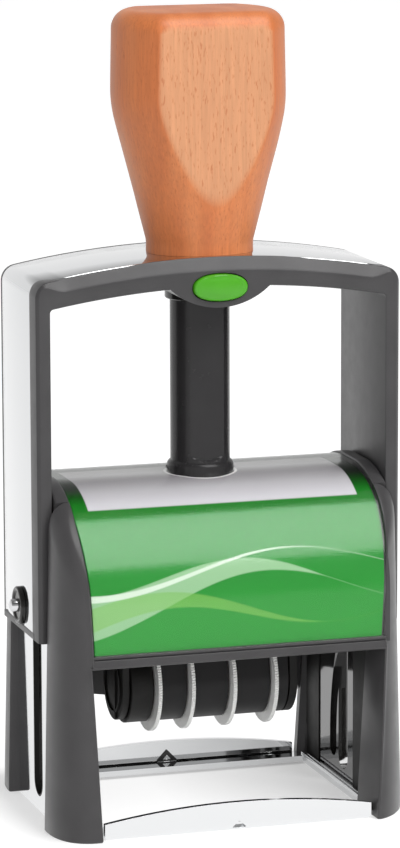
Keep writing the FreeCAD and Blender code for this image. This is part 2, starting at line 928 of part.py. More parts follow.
def column_bush():
    """The sleeve in the yoke's hub that slides on the column."""
    body = new_body("column_bush")
    rings = [("circle", "0", "0", "sleeve_outer"), ("circle", "0", "0", "column_radius + sleeve_play")]
    across_z(body, "hub_under + sleeve_inset", "yoke_top - strap_gauge - sleeve_inset", *rings)
    return keep(body, "column_bush")


def return_spring():
    """The coil spring round the plunger rod, as the tube that its turns fill."""
    body = new_body("return_spring")
    rings = [("circle", "0", "0", "spring_outer"), ("circle", "0", "0", "spring_inner")]
    across_z(body, "column_seat", "spring_top", *rings)
    return keep(body, "return_spring")


def plunger_rod():
    """A steel rod with a head under the handle's crown. It keeps the spring straight."""
    body = new_body("plunger_rod")
    foot = "column_seat + stroke + rod_foot_gap"
    profile = [
        ("0", foot),
        ("rod_radius - 0.6", foot),
        ("rod_radius", foot + " + 0.6"),
        ("rod_radius", "spring_top"),
        ("rod_head", "spring_top"),
        ("rod_head", "bore_top"),
        ("rod_stud", "bore_top"),
        ("rod_stud", "bore_top + rod_stud_long"),
        ("0", "bore_top + rod_stud_long"),
    ]
    turned(body, profile)
    return keep(body, "plunger_rod")


# Yoke: a dark moulding with a chromed strap round it


def crown_height(inset, x):
    """Height of the yoke's arched top at x, so far below its skin."""
    radius = "(crown_radius - %s)" % inset
    return "(yoke_top - crown_radius + sqrt(%s^2 - (%s)^2))" % (radius, x)


def yoke_outside(inset):
    """The yoke's outer line from the right arm over the top to the left arm."""
    half = "(yoke_half - %s)" % inset
    round_ = "(yoke_corner - %s)" % inset if inset == "0" else "(yoke_corner - %s * 0.6)" % inset
    shoulder = "(%s - %s * 0.93)" % (half, round_)
    knee = "(%s - %s)" % (crown_height(inset, shoulder), round_)
    radius = "crown_radius - %s" % inset
    return [
        (half, "arm_end"),
        (half, knee, "bow", round_ + " * 1.02", 1),
        (shoulder, crown_height(inset, shoulder), "bow", radius, 1),
        (minus(shoulder), crown_height(inset, shoulder), "bow", round_ + " * 1.02", 1),
        (minus(half), knee),
        (minus(half), "arm_end"),
    ]


def yoke_inside(half, radius, crest):
    """The yoke's inner line from the left arm over the top to the right arm."""
    corner = "(%s - %s + sqrt((%s)^2 - (%s)^2))" % (crest, radius, radius, half)
    return [
        (minus(half), "arm_end"),
        (minus(half), corner, "bow", radius, -1),
        (half, corner),
        (half, "arm_end"),
    ]


def yoke_ring(outer_inset, inner_line):
    return yoke_outside(outer_inset) + inner_line


def yoke_frame():
    body = new_body("yoke_frame")
    inner = yoke_inside("(yoke_half - arm_width)", "(crown_radius + 4)", "beam_under")
    back = "yoke_deep - bead_deep"
    front = "(-yoke_deep + face_deep)"
    across_y(body, "-yoke_deep", front, yoke_ring("0", inner))
    across_y(body, front, back, yoke_ring("strap_gauge", inner))
    across_y(body, back, "yoke_deep", yoke_ring("0", inner))
    shoulder = "hub_under + hub_radius - sqrt(hub_radius^2 - hub_half^2)"
    hub = [
        ("-hub_half", shoulder, "bow", "hub_radius", 1),
        ("hub_half", shoulder),
        ("hub_half", "beam_under + 2"),
        ("-hub_half", "beam_under + 2"),
    ]
    across_y(body, "-yoke_deep", "hub_back", hub)
    across_z(body, "hub_under - 1", "yoke_top + 1", ("circle", "0", "0", "sleeve_outer"), cut=True)
    across_y(body, "-yoke_deep - 1", BUTTON_FLOOR, button_outline("button_play"), cut=True)
    holes = [("circle", "%d * handle_screw_place" % side, "0", "1.3") for side in (-1, 1)]
    across_z(body, "hub_under - 1", "yoke_top + 1", *holes, cut=True)
    sinks = [("circle", "%d * handle_screw_place" % side, "0", "2.3") for side in (-1, 1)]
    across_z(body, "hub_under - 1", "beam_under - 0.4", *sinks, cut=True)
    for side in (-1, 1):
        low, high = between(side, "yoke_half - arm_width - 1", "yoke_half + 1")
        across_x(body, low, high, ("circle", "0", "axle_rest", "bush_neck"), cut=True)
    return keep(body, "yoke_frame")


BUTTON_FLOOR = "-yoke_deep - button_proud + button_deep + button_spring_long"


def button_outline(play):
    half = "(button_half + %s)" % play
    tall = "(button_tall + %s)" % play
    return oval("0", "beam_under - 0.2", half, tall, "(button_end + %s)" % play)


def yoke_strap():
    body = new_body("yoke_strap")
    half = "(yoke_half - strap_gauge)"
    inner = [(z[0], z[1]) + tuple(z[2:]) for z in yoke_outside("strap_gauge")]
    inner = reverse_line(inner)
    front = "(-yoke_deep + face_deep)"
    back = "yoke_deep - bead_deep"
    across_y(body, front, back, yoke_outside("0") + inner)
    across_z(body, "yoke_top - 9", "yoke_top + 1", ("circle", "0", "0", "handle_bore"), cut=True)
    holes = [("circle", "%d * handle_screw_place" % side, "0", "1.3") for side in (-1, 1)]
    across_z(body, "yoke_top - 9", "yoke_top + 1", *holes, cut=True)
    for side in (-1, 1):
        low, high = between(side, half + " - 1", "yoke_half + 1")
        across_x(body, low, high, ("circle", "0", "axle_rest", "bush_neck"), cut=True)
    return keep(body, "yoke_strap")


def reverse_line(line):
    """The same outline run the other way, its bows turned to suit."""
    result = []
    for i in range(len(line) - 1, -1, -1):
        x, y = line[i][:2]
        bow = line[i - 1][2:] if i > 0 else ()
        result.append((x, y) + (bow[:-1] + (-bow[-1],) if bow else ()))
    return result


def axle_bush(side):
    body = new_body("axle_bush")
    bore = ("circle", "0", "axle_rest", "axle_radius + 0.02")
    low, high = between(side, "yoke_half", "yoke_half + bush_proud")
    across_x(body, low, high, ("circle", "0", "axle_rest", "bush_radius"), bore)
    low, high = between(side, "yoke_half - arm_width", "yoke_half")
    across_x(body, low, high, ("circle", "0", "axle_rest", "bush_neck - 0.02"), bore)
    return keep(body, "axle_bush_%s" % NAMES[side])


def axle_pin(side):
    body = new_body("axle_pin")
    low, high = between(side, "plate_half - axle_inset", "axle_end - 0.8")
    across_x(body, low, high, ("circle", "0", "axle_rest", "axle_radius"))
    low, high = between(side, "axle_end - 0.8", "axle_end")
    across_x(body, low, high, ("circle", "0", "axle_rest", "axle_radius - 0.7"))
    return keep(body, "axle_pin_%s" % NAMES[side])


# Handle: turned in wood, with a flat in front and behind


def handle():
    body = new_body("form handle")
    foot = "yoke_top - 2"
    profile = [
        ("0", foot),
        ("handle_foot", foot),
        ("handle_foot", "handle_foot_top"),
        (
            "handle_foot + handle_lean * (handle_bend - handle_foot_top)",
            "handle_bend",
            "bow",
            "handle_bend_radius",
            1,
        ),
        ("handle_radius", "handle_wide"),
        ("handle_shoulder", "handle_top - handle_edge", "bow", "handle_edge", 1),
        ("handle_shoulder - handle_edge", "handle_top"),
        ("0", "handle_top"),
    ]
    turned(body, profile)
    bore = ("circle", "0", "0", "handle_bore")
    across_z(body, foot + " - 1", "bore_top", bore, cut=True)
    stud = ("circle", "0", "0", "rod_stud")
    across_z(body, "bore_top - 1", "bore_top + rod_stud_long", stud, cut=True)
    holes = [("circle", "%d * handle_screw_place" % side, "0", "1.2") for side in (-1, 1)]
    across_z(body, foot + " - 1", "beam_under + handle_screw_long", *holes, cut=True)
    sides = tool("handle flats", across_x, "-handle_radius - 2", "handle_radius + 2", handle_side_view())
    under = tool("yoke crown", across_y, "-40", "40", crown_block())
    return keep(without("handle wood", shared("form flats", [body, sides]), under), "handle")


def handle_side_view():
    """The handle in Y and Z: two flats that run into the top in a round edge."""
    return [
        ("-handle_flat", "yoke_top - 3"),
        ("handle_flat", "yoke_top - 3"),
        ("handle_flat", "handle_top - handle_edge", "bow", "handle_edge", 1),
        ("handle_flat - handle_edge", "handle_top"),
        ("-handle_flat + handle_edge", "handle_top", "bow", "handle_edge", 1),
        ("-handle_flat", "handle_top - handle_edge"),
    ]


def soften(body, radius, bound, place):
    """Round every edge of the newest feature that lies wholly at place."""
    doc.recompute()
    last = body.Tip
    far = bound.replace("Min", "Max")
    level = value(place)
    rim = [
        "Edge%d" % (i + 1)
        for i, edge in enumerate(last.Shape.Edges)
        if abs(getattr(edge.BoundBox, bound) - level) < 1e-4
        and abs(getattr(edge.BoundBox, far) - level) < 1e-4
    ]
    fillet = body.newObject("PartDesign::Fillet", "Soft")
    fillet.Base = (last, rim)
    bind(fillet, "Radius", radius)


def crown_block():
    """What lies under the strap's arched top, where the handle's foot is cut to it."""
    far = "(handle_foot + 8)"
    return [
        (minus(far), "yoke_top - 12"),
        (far, "yoke_top - 12"),
        (far, crown_height("0", far), "bow", "crown_radius", 1),
        (minus(far), crown_height("0", far)),
    ]


def handle_screws():
    screws = []
    for side in (-1, 1):
        body = new_body("form handle screw")
        x = "%d * handle_screw_place" % side
        across_z(body, "beam_under - 2.0", "beam_under - 0.4", ("circle", x, "0", "2.2"))
        across_z(body, "beam_under - 0.6", "beam_under + handle_screw_long", ("circle", x, "0", "1.2"))
        screws.append(body)
    return keep(group("handle screws", screws), "handle_screws")


# Lock button: an oval key with a rounded face, on a short spring


def lock_button():
    body = new_body("lock_button")
    front = "-yoke_deep - button_proud"
    across_y(body, front, front + " + button_deep", button_outline("0"))
    soften(body, "button_proud * 0.6", "YMin", front)
    return keep(body, "lock_button")


def button_spring():
    body = new_body("button_spring")
    back = "-yoke_deep - button_proud + button_deep"
    rings = [("circle", "0", "beam_under - 0.2", "2.0"), ("circle", "0", "beam_under - 0.2", "1.2")]
    across_y(body, back, BUTTON_FLOOR, *rings)
    return keep(body, "button_spring")


# Ink pad in its tray, which runs on two rails and closes the hood behind


def ink_pad():
    body = new_body("ink_pad")
    outline = oblong("-pad_half", "pad_half", "-pad_deep", "pad_deep")
    across_z(body, "pad_face", "roof_under", outline)
    return keep(body, "ink_pad")


def pad_tray():
    body = new_body("tray")
    rim = "roof_under - tray_rim"
    plan = oblong("-tray_half", "tray_half", "-tray_deep", "tray_deep")
    across_z(body, rim, "roof_top", plan)
    well = oblong("-pad_half", "pad_half", "-pad_deep", "pad_deep")
    across_z(body, rim + " - 1", "roof_under", well, cut=True)
    runner = oblong("-runner_half", "runner_half", "-tray_deep", "tray_deep")
    across_z(body, "roof_under", "roof_top", runner)
    tongue = oblong("-tray_half + 4", "tray_half - 4", "tray_deep - 0.5", "hood_offset + window_radius - 4")
    across_z(body, "roof_under", "roof_top", tongue)
    grip = ring_of_hood("grip", "window_radius", "(window_radius - grip_gauge)")
    mouth = centred("runner_half", "grip_low", "grip_high")
    window = tool("grip window", across_y, "channel_half", "60", mouth)
    whole = fused("tray whole", [body, shared("form grip face", [grip, window])])
    return keep(whole, "pad_tray")


def tray_rail(side):
    body = new_body("tray_rail")
    outline = [
        ("%d * rail_face" % side, "roof_under - rail_wall - runner_play"),
        ("%d * guide_face" % side, "roof_under - rail_wall - runner_play"),
        ("%d * guide_face" % side, "roof_top + rail_wall + runner_play"),
        ("%d * rail_face" % side, "roof_top + rail_wall + runner_play"),
        ("%d * rail_face" % side, "roof_top + runner_play"),
        ("%d * (runner_half + runner_play)" % side, "roof_top + runner_play"),
        ("%d * (runner_half + runner_play)" % side, "roof_under - runner_play"),
        ("%d * rail_face" % side, "roof_under - runner_play"),
    ]
    if side < 0:
        outline.reverse()
    across_y(body, "-guide_deep", "guide_deep", outline)
    return keep(body, "tray_rail_%s" % NAMES[side])


# Die carrier: the plate that turns over, with its ears, pins and the rubber plate


def carrier_frame():
    body = new_body("carrier_frame")
    plan = oblong("-plate_half", "plate_half", "-die_deep", "die_deep")
    across_z(body, "plate_under", "plate_top", plan, date_window("window_half", "window_deep"))
    ear = [
        ("-13", "plate_under + 0.5"),
        ("-cam_arm - 3.6", "axle_rest"),
        ("-cam_arm - 1", "axle_rest - 4"),
        ("-4", "axle_rest - ear_drop"),
        ("4", "axle_rest - ear_drop"),
        ("8", "axle_rest"),
        ("12", "plate_under + 0.5"),
    ]
    for side in (-1, 1):
        low, high = between(side, "plate_half - ear_gauge", "plate_half")
        across_x(body, low, high, ear)
        holes = [
            ("circle", "0", "axle_rest", "axle_radius + axle_play"),
            ("circle", "-cam_arm", "axle_rest", "cam_pin"),
        ]
        across_x(body, "%s - 0.1" % low, "%s + 0.1" % high, *holes, cut=True)
    return keep(body, "carrier_frame")


def date_window(half, deep):
    return oblong("date_centre - " + half, "date_centre + " + half, minus(deep), deep)


def text_plate():
    body = new_body("text_plate")
    plan = oblong("-die_half", "die_half", "-die_deep", "die_deep")
    across_z(body, "plate_top", "die_face", plan, date_window("window_half", "(window_deep - 0.4)"))
    return keep(body, "text_plate")


def cam_pin(side):
    body = new_body("cam_pin")
    low, high = between(side, "plate_half - ear_gauge", "guide_face + cam_deep - cam_end_gap")
    across_x(body, low, high, ("circle", "-cam_arm", "axle_rest", "cam_pin"))
    return keep(body, "cam_pin_%s" % NAMES[side])


# Date unit: wheels on one shaft, and bands that run from them up to the anvil


def date_unit_frame():
    body = new_body("date_unit_frame")
    outline = [
        ("-cheek_waist", "plate_under"),
        ("-band_outer", "wheel_height", "about", "0", "wheel_height", 1),
        ("0", "wheel_height - band_outer", "about", "0", "wheel_height", 1),
        ("band_outer", "wheel_height"),
        ("cheek_waist", "plate_under"),
    ]
    bore = ("circle", "0", "wheel_height", "shaft_radius")
    across_x(body, "cheek_left", "cheek_left + cheek_gauge", outline, bore)
    across_x(body, "cheek_right - cheek_gauge", "cheek_right", outline, bore)
    tie = oblong("-tie_half", "tie_half", "tie_height - tie_half", "tie_height + tie_half")
    across_x(body, "cheek_left + cheek_gauge / 2", "cheek_right - cheek_gauge / 2", tie)
    return keep(body, "date_unit_frame")


def date_bridge():
    """The anvil over which the bands are pressed on the paper."""
    body = new_body("date_bridge")
    crown = "die_face - (band_crown - band_crown_inner) - anvil_gap - anvil_half"
    outline = [
        ("-anvil_half", "tie_height + tie_half"),
        ("anvil_half", "tie_height + tie_half"),
        ("anvil_half", crown, "about", "0", crown, 1),
        ("-anvil_half", crown),
    ]
    across_x(body, "cheek_left + cheek_gauge", "cheek_right - cheek_gauge", outline)
    return keep(body, "date_bridge")


def wheel_axle():
    body = new_body("wheel_axle")
    rod = ("circle", "0", "wheel_height", "shaft_radius")
    across_x(body, "cheek_left - shaft_proud", "cheek_right + shaft_proud", rod)
    return keep(body, "wheel_axle")


WHEELS = ["-wheel_first", "-wheel_second", "wheel_third", "wheel_fourth"]


def wheel_end(number):
    """Where the hub of a wheel ends: short of the next wheel, or of the cheek."""
    if number < len(WHEELS) - 1:
        return "%s - wheel_gauge / 2 - wheel_gap" % WHEELS[number + 1]
    return "cheek_right - cheek_gauge - wheel_gap"


def plain_drum():
    body = new_body("plain_drum")
    rings = [
        ("circle", "0", "wheel_height", "band_outer"),
        ("circle", "0", "wheel_height", "shaft_radius"),
    ]
    end = "%s - wheel_gauge / 2 - wheel_gap" % WHEELS[0]
    across_x(body, "cheek_left + cheek_gauge", end, *rings)
    return keep(body, "plain_drum")


def date_wheel(number):
    """A white setting wheel with fine teeth, and the hub that drives its band."""
    body = new_body("date_wheel")
    bore = ("circle", "0", "wheel_height", "shaft_radius + shaft_play")
    place = WHEELS[number]
    crown = []
    for i in range(2 * TEETH):
        radius = "wheel_radius" if i % 2 else "(wheel_radius - wheel_tooth)"
        angle = 180.0 * i / TEETH
        point = (
            "%s * cos(%g)" % (radius, angle),
            "wheel_height + %s * sin(%g)" % (radius, angle),
        )
        crown.append(point)
    across_x(body, place + " - wheel_gauge / 2", place + " + wheel_gauge / 2", crown, bore)
    hub = ("circle", "0", "wheel_height", "wheel_hub")
    across_x(body, place + " + wheel_gauge / 2", wheel_end(number), hub, bore)
    return keep(body, "date_wheel_%d" % (number + 1))


def belt_outline(low_radius, high_radius):
    """A band's line round the hub and over the anvil, with straight runs between."""
    rise = "(band_rise - wheel_height)"
    lean = "asin((%s - %s) / %s)" % (low_radius, high_radius, rise)
    points = []
    for side, radius, height in (
        (1, low_radius, "wheel_height"),
        (1, high_radius, "band_rise"),
        (-1, high_radius, "band_rise"),
        (-1, low_radius, "wheel_height"),
    ):
        across = "%d * %s * cos(%s)" % (side, radius, lean)
        up = "%s + %s * sin(%s)" % (height, radius, lean)
        points.append((across, up))
    return [
        points[0],
        points[1] + ("about", "0", "band_rise", 1),
        points[2],
        points[3] + ("about", "0", "wheel_height", 1),
    ]


def date_band(number):
    body = new_body("date_band")
    outer = belt_outline("band_outer", "band_crown")
    inner = belt_outline("band_inner", "band_crown_inner")
    start = "%s + wheel_gauge / 2 + wheel_gap" % WHEELS[number]
    across_x(body, start, wheel_end(number), outer, inner)
    return keep(body, "date_band_%d" % (number + 1))


SIDES = (-1, 1)

base_frame()
for side in SIDES:
    side_plate(side)
    cam_guide(side)
    tray_rail(side)
    axle_bush(side)
    axle_pin(side)
    cam_pin(side)
bridge_plate()
housing_parts()
housing_screws()
label_card()
index_window()
guide_column()
column_screws()
column_bush()
return_spring()
plunger_rod()
yoke_frame()
yoke_strap()
handle()
handle_screws()
lock_button()
button_spring()
ink_pad()
pad_tray()
carrier_frame()
text_plate()
date_unit_frame()
date_bridge()
wheel_axle()
plain_drum()
for number in range(len(WHEELS)):
    date_wheel(number)
    date_band(number)
doc.recompute()

faults = []
for thing in doc.Objects:
    if {"Invalid", "Error"} & set(thing.State):
        faults.append("%s %s: %s" % (thing.Name, thing.Label, thing.State))
for cut in CUTS:
    before = cut.BaseFeature.Shape.Volume if cut.BaseFeature else 0.0
    if cut.Shape.Volume > before - 0.01:
        faults.append("%s in %s cuts nothing" % (cut.Name, cut.getParentGeoFeatureGroup().Label))
for piece in PIECES:
    shape = piece.Shape
    if shape.isNull() or not shape.isValid() or not shape.Solids or shape.Volume <= 0:
        faults.append("%s has no valid solid" % piece.Label)
if faults:
    raise RuntimeError("\n".join(faults))

os.makedirs("parts", exist_ok=True)
for piece in PIECES:
    piece.Shape.exportStep("parts/%s.step" % piece.Label)
    print("%-18s %2d solid(s) %10.2f mm3" % (piece.Label, len(piece.Shape.Solids), piece.Shape.Volume))
whole = Part.makeCompound([piece.Shape for piece in PIECES]).BoundBox
print("%d pieces, %.1f wide, %.1f deep, %.1f high" % (len(PIECES), whole.XLength, whole.YLength, whole.ZLength))
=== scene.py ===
# %% [markdown]
# # A self-inking date stamp
#
# The stamp has a beech handle on a sprung yoke. Pressing the handle turns a plate over
# between an ink pad under the hood and the paper. This file dresses the fixed frame that
# comes from the CAD model: every visible piece is built again with finer edges, and each
# gets its own finish. Lengths are written in millimetres and scaled once, when a piece is
# made, because drawings of such a machine use them too.

from math import acos, asin, atan2, cos, degrees, hypot, pi, radians, sin, sqrt

import bmesh
import bpy
from mathutils import Matrix, Vector


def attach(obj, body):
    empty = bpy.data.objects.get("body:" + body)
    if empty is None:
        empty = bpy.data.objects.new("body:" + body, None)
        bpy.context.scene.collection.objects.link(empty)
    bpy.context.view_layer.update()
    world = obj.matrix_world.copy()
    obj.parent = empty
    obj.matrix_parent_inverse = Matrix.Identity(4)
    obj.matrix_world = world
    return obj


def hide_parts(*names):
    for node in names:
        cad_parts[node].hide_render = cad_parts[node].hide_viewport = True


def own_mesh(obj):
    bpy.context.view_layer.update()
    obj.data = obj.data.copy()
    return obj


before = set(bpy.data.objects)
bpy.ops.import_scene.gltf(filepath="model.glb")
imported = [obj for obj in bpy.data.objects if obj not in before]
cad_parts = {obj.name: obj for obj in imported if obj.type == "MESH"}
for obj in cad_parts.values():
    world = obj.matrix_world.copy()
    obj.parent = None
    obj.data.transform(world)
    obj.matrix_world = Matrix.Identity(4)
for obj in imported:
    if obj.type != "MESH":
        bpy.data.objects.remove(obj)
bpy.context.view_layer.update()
MM = 0.001

# %% [markdown]
# ## Outlines
#
# Most pieces here are pressed, moulded or cut, so each starts as a flat outline. An outline
# could be drawn as a Bezier curve and filled, but points worked out in code keep every corner
# radius exact. `rounded` replaces each corner by a small arc, as a tool of that radius would.

# %% Points on arcs, and rounded corners


def arc(centre, radius, start, end, steps):
    """Points on an arc round centre, from one angle in degrees to another."""
    turns = [radians(start + (end - start) * i / steps) for i in range(steps + 1)]
    return [(centre[0] + radius * cos(t), centre[1] + radius * sin(t)) for t in turns]


def rounded(corners, steps=4):
    """A closed outline from corners (x, y, radius), each one rounded."""
    outline = []
    for i, (x, y, radius) in enumerate(corners):
        here = Vector((x, y))
        back = Vector(corners[i - 1][:2]) - here
        on = Vector(corners[(i + 1) % len(corners)][:2]) - here
        if radius <= 0 or back.length < 1e-6 or on.length < 1e-6:
            outline.append((x, y))
            continue
        half = back.angle(on) / 2
        slope = max(sin(half) / max(cos(half), 1e-6), 1e-6)
        reach = min(radius / slope, 0.49 * back.length, 0.49 * on.length)
        start = here + back.normalized() * reach
        end = here + on.normalized() * reach
        for k in range(steps + 1):
            t = k / steps
            outline.append(tuple(start * (1 - t) ** 2 + here * 2 * t * (1 - t) + end * t**2))
    return outline


def circle(centre, radius, steps=48):
    return arc(centre, radius, 0, 360, steps)[:-1]


def box_outline(left, right, low, high, radius=0.0):
    return rounded([(left, low, radius), (right, low, radius), (right, high, radius), (left, high, radius)])


def mix(a, b, t):
    return a + (b - a) * t


def clamp(t):
    return min(1.0, max(0.0, t))


def span(side, near, far):
    """Two places on one side (-1 or 1) of the middle, the lower one first."""
    return sorted((side * near, side * far))


def along(table, place):
    """Read a value from pairs (place, value) by straight lines between them."""
    for (p0, v0), (p1, v1) in zip(table, table[1:]):
        if place <= p1:
            return mix(v0, v1, max(0.0, (place - p0) / (p1 - p0)))
    return table[-1][1]


# %% [markdown]
# ## From outline to solid
#
# Three ways of making a closed mesh cover almost every piece: a slab (an outline given
# thickness), a turned piece (a profile spun about an axis) and a skin (rings of points joined
# one after the other). bmesh joins the points by hand, so no primitive is left showing.

# %% Slabs, turned pieces and skins

AXES = {"x": (1, 2, 0), "y": (0, 2, 1), "z": (0, 1, 2)}


def put(axis, u, v, w):
    """A point from two outline coordinates and a place along the axis."""
    point = [0.0, 0.0, 0.0]
    for index, number in zip(AXES[axis], (u, v, w)):
        point[index] = number
    return Vector(point)


def slab(bm, axis, low, high, *outlines):
    """Give outlines thickness along an axis. Outlines after the first are holes."""
    edges = []
    for outline in outlines:
        verts = [bm.verts.new(put(axis, u, v, low)) for u, v in outline]
        edges += [bm.edges.new((verts[i - 1], verts[i])) for i in range(len(verts))]
    if len(outlines) == 1:
        faces = [bm.faces.new([e.verts[1] for e in edges])]
    else:
        made = bmesh.ops.triangle_fill(bm, use_beauty=True, use_dissolve=False, edges=edges)
        faces = [g for g in made["geom"] if isinstance(g, bmesh.types.BMFace)]
    grown = bmesh.ops.extrude_face_region(bm, geom=faces, use_keep_orig=True)
    moved = [g for g in grown["geom"] if isinstance(g, bmesh.types.BMVert)]
    bmesh.ops.translate(bm, verts=moved, vec=put(axis, 0, 0, high - low))


def skin(bm, rings, ends=True):
    """Join rings of points with faces, and close the two ends."""
    rows = [[bm.verts.new(p) for p in ring] for ring in rings]
    count = len(rows[0])
    for a, b in zip(rows, rows[1:]):
        for i in range(count):
            j = (i + 1) % count
            bm.faces.new((a[i], a[j], b[j], b[i]))
    if ends:
        bm.faces.new(rows[0][::-1])
        bm.faces.new(rows[-1])


def turned(bm, profile, axis="z", centre=(0.0, 0.0), steps=64):
    """Spin a profile of (radius, height) about an axis through centre."""
    rings = []
    for radius, height in profile:
        ring = []
        for i in range(steps):
            turn = 2 * pi * i / steps
            u = centre[0] + max(radius, 1e-4) * cos(turn)
            v = centre[1] + max(radius, 1e-4) * sin(turn)
            ring.append(put(axis, u, v, height))
        rings.append(ring)
    skin(bm, rings, ends=profile[0] != profile[-1])


# %% [markdown]
# ## Pieces
#
# A piece is a mesh with a finish that rides on one body of the frame and stands for one or
# more CAD nodes. Real edges are never razor sharp, and the thin line of light on a rounded
# edge is what makes a part look moulded or pressed, so a bevel follows every hard edge.

# %% Turn a bmesh into a piece

SMOOTH = 38.0


def to_object(name, bm):
    """An object from a bmesh in millimetres, with all its faces looking outwards."""
    bmesh.ops.recalc_face_normals(bm, faces=bm.faces)
    bm.transform(Matrix.Scale(MM, 4))
    mesh = bpy.data.meshes.new(name)
    bm.to_mesh(mesh)
    bm.free()
    made = bpy.data.objects.new(name, mesh)
    bpy.context.scene.collection.objects.link(made)
    return made


def shade(mesh, finish, smooth):
    """Give a mesh one finish and smooth faces that meet at less than an angle in degrees."""
    mesh.materials.clear()
    mesh.materials.append(finish)
    mesh.polygons.foreach_set("use_smooth", [True] * len(mesh.polygons))
    mesh.polygons.foreach_set("material_index", [0] * len(mesh.polygons))
    mesh.set_sharp_from_angle(angle=radians(smooth))


def break_edges(piece, width, segments, angle):
    """A small bevel on every edge that is sharper than an angle in degrees."""
    edge = piece.modifiers.new("edges", "BEVEL")
    edge.width = width * MM
    edge.segments = segments
    edge.limit_method = "ANGLE"
    edge.angle_limit = radians(angle)
    edge.harden_normals = True


def add_piece(name, bm, finish, body, nodes, bevel=0.0, segments=2, smooth=SMOOTH, weld=True):
    """Make a piece from a bmesh in millimetres and tie it to the frame."""
    if weld:
        bmesh.ops.remove_doubles(bm, verts=bm.verts, dist=1e-4)
    piece = to_object(name, bm)
    shade(piece.data, finish, smooth)
    if bevel:
        break_edges(piece, bevel, segments, smooth)
    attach(piece, body)
    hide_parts(*nodes)
    print("%-22s %6d faces" % (name, len(piece.data.polygons)))
    return piece


# %% [markdown]
# Openings that pass through several faces are cut by a boolean, once, before the piece is used.
# The result replaces the piece's mesh, so no modifier has to be worked out again at each pose.

# %% Cut a form away, or join one on


def cut_away(piece, bm, join=False):
    """Take a form away from a piece, or add it, and keep the resulting mesh."""
    cutter = to_object("cutter", bm)
    knife = piece.modifiers.new("cut", "BOOLEAN")
    knife.operation = "UNION" if join else "DIFFERENCE"
    knife.solver = "EXACT"
    knife.object = cutter
    kept = [m for m in piece.modifiers if m.type == "BEVEL"]
    for m in kept:
        m.show_viewport = False
    bpy.context.view_layer.update()
    made = bpy.data.meshes.new_from_object(piece.evaluated_get(bpy.context.evaluated_depsgraph_get()))
    piece.modifiers.remove(knife)
    bpy.data.objects.remove(cutter)
    shade(made, piece.data.materials[0], SMOOTH)
    piece.data = made
    for m in kept:
        m.show_viewport = True


# %% [markdown]
# ## Finishes
#
# Each finish is a Principled shader fed by a few texture nodes in object space. A flat colour
# would look like a drawing: moulded plastic has a fine skin and slight clouding, chrome has
# faint waves, wood has fibres. The colours are written as they look on screen and turned into
# linear values here.

# %% Shader tools


def screen(red, green, blue):
    """A colour from 0 to 255 as the shader wants it."""
    line = [c / 255 / 12.92 if c <= 10.3 else ((c / 255 + 0.055) / 1.055) ** 2.4 for c in (red, green, blue)]
    return (*line, 1.0)


def new_finish(name, slot, colour, rough, metal=0.0, **more):
    """A material with a Principled shader, ready for texture nodes."""
    finish = bpy.data.materials.new(name)
    finish.use_nodes = True
    finish["slot"] = slot
    shader = finish.node_tree.nodes["Principled BSDF"]
    shader.inputs["Base Color"].default_value = colour
    shader.inputs["Roughness"].default_value = rough
    shader.inputs["Metallic"].default_value = metal
    for socket, number in more.items():
        shader.inputs[socket.replace("_", " ")].default_value = number
    return finish


def plug(finish, socket, setting):
    """Link a socket to another node's output, or set its value."""
    if isinstance(setting, bpy.types.NodeSocket):
        finish.node_tree.links.new(setting, socket)
    else:
        socket.default_value = setting


def node(finish, kind, **settings):
    """Add a node. A name such as in_0 or in_Vector is a socket, any other a property."""
    made = finish.node_tree.nodes.new(kind)
    for key, setting in settings.items():
        if key.startswith("in_"):
            place = key[3:]
            plug(finish, made.inputs[int(place) if place.isdigit() else place.replace("_", " ")], setting)
        else:
            setattr(made, key, setting)
    return made


def feed(finish, socket, output):
    plug(finish, finish.node_tree.nodes["Principled BSDF"].inputs[socket], output)


# %% [markdown]
# Colour and gloss are worked out from places on the piece in millimetres, by a few small steps:
# a noise, a ramp, a blend, a sum. Each step is a function that adds one node and gives back
# its output, so that a finish reads like a recipe. Image textures would need unwrapping and
# would fix the scale, while these follow any shape.

# %% Texture tools


def places(finish, stretch=(1.0, 1.0, 1.0)):
    """Object coordinates in millimetres, stretched along the axes."""
    spot = node(finish, "ShaderNodeTexCoord")
    scaled = node(finish, "ShaderNodeMapping", in_Vector=spot.outputs["Object"])
    scaled.inputs["Scale"].default_value = [s / MM for s in stretch]
    return scaled.outputs["Vector"]


def noise(finish, vector, scale, detail, rough=0.5):
    made = node(finish, "ShaderNodeTexNoise", in_Vector=vector, in_Scale=scale, in_Detail=detail)
    made.inputs["Roughness"].default_value = rough
    return made.outputs["Fac"]


def ramp(finish, factor, *stops):
    """Colours or greys at places from 0 to 1."""
    made = node(finish, "ShaderNodeValToRGB", in_Fac=factor)
    elements = made.color_ramp.elements
    while len(elements) < len(stops):
        elements.new(0.5)
    for element, (place, colour) in zip(elements, stops):
        element.position = place
        element.color = colour if isinstance(colour, tuple) else (colour, colour, colour, 1.0)
    return made.outputs["Color"]


def blend_colours(finish, factor, first, second, mode="MIX"):
    """First where factor is 0, second where it is 1."""
    made = node(finish, "ShaderNodeMix", data_type="RGBA", blend_type=mode)
    for place, setting in ((0, factor), (6, first), (7, second)):
        plug(finish, made.inputs[place], setting)
    return made.outputs[2]


def math_node(finish, operation, *values):
    made = node(finish, "ShaderNodeMath", operation=operation)
    for place, setting in enumerate(values):
        plug(finish, made.inputs[place], setting)
    return made.outputs[0]


def spread(finish, value, low, high, first=0.0, last=1.0):
    """Let a value that runs from low to high run from first to last, and stop there."""
    made = node(finish, "ShaderNodeMapRange", in_0=value, in_1=low, in_2=high, in_3=first, in_4=last)
    return made.outputs[0]


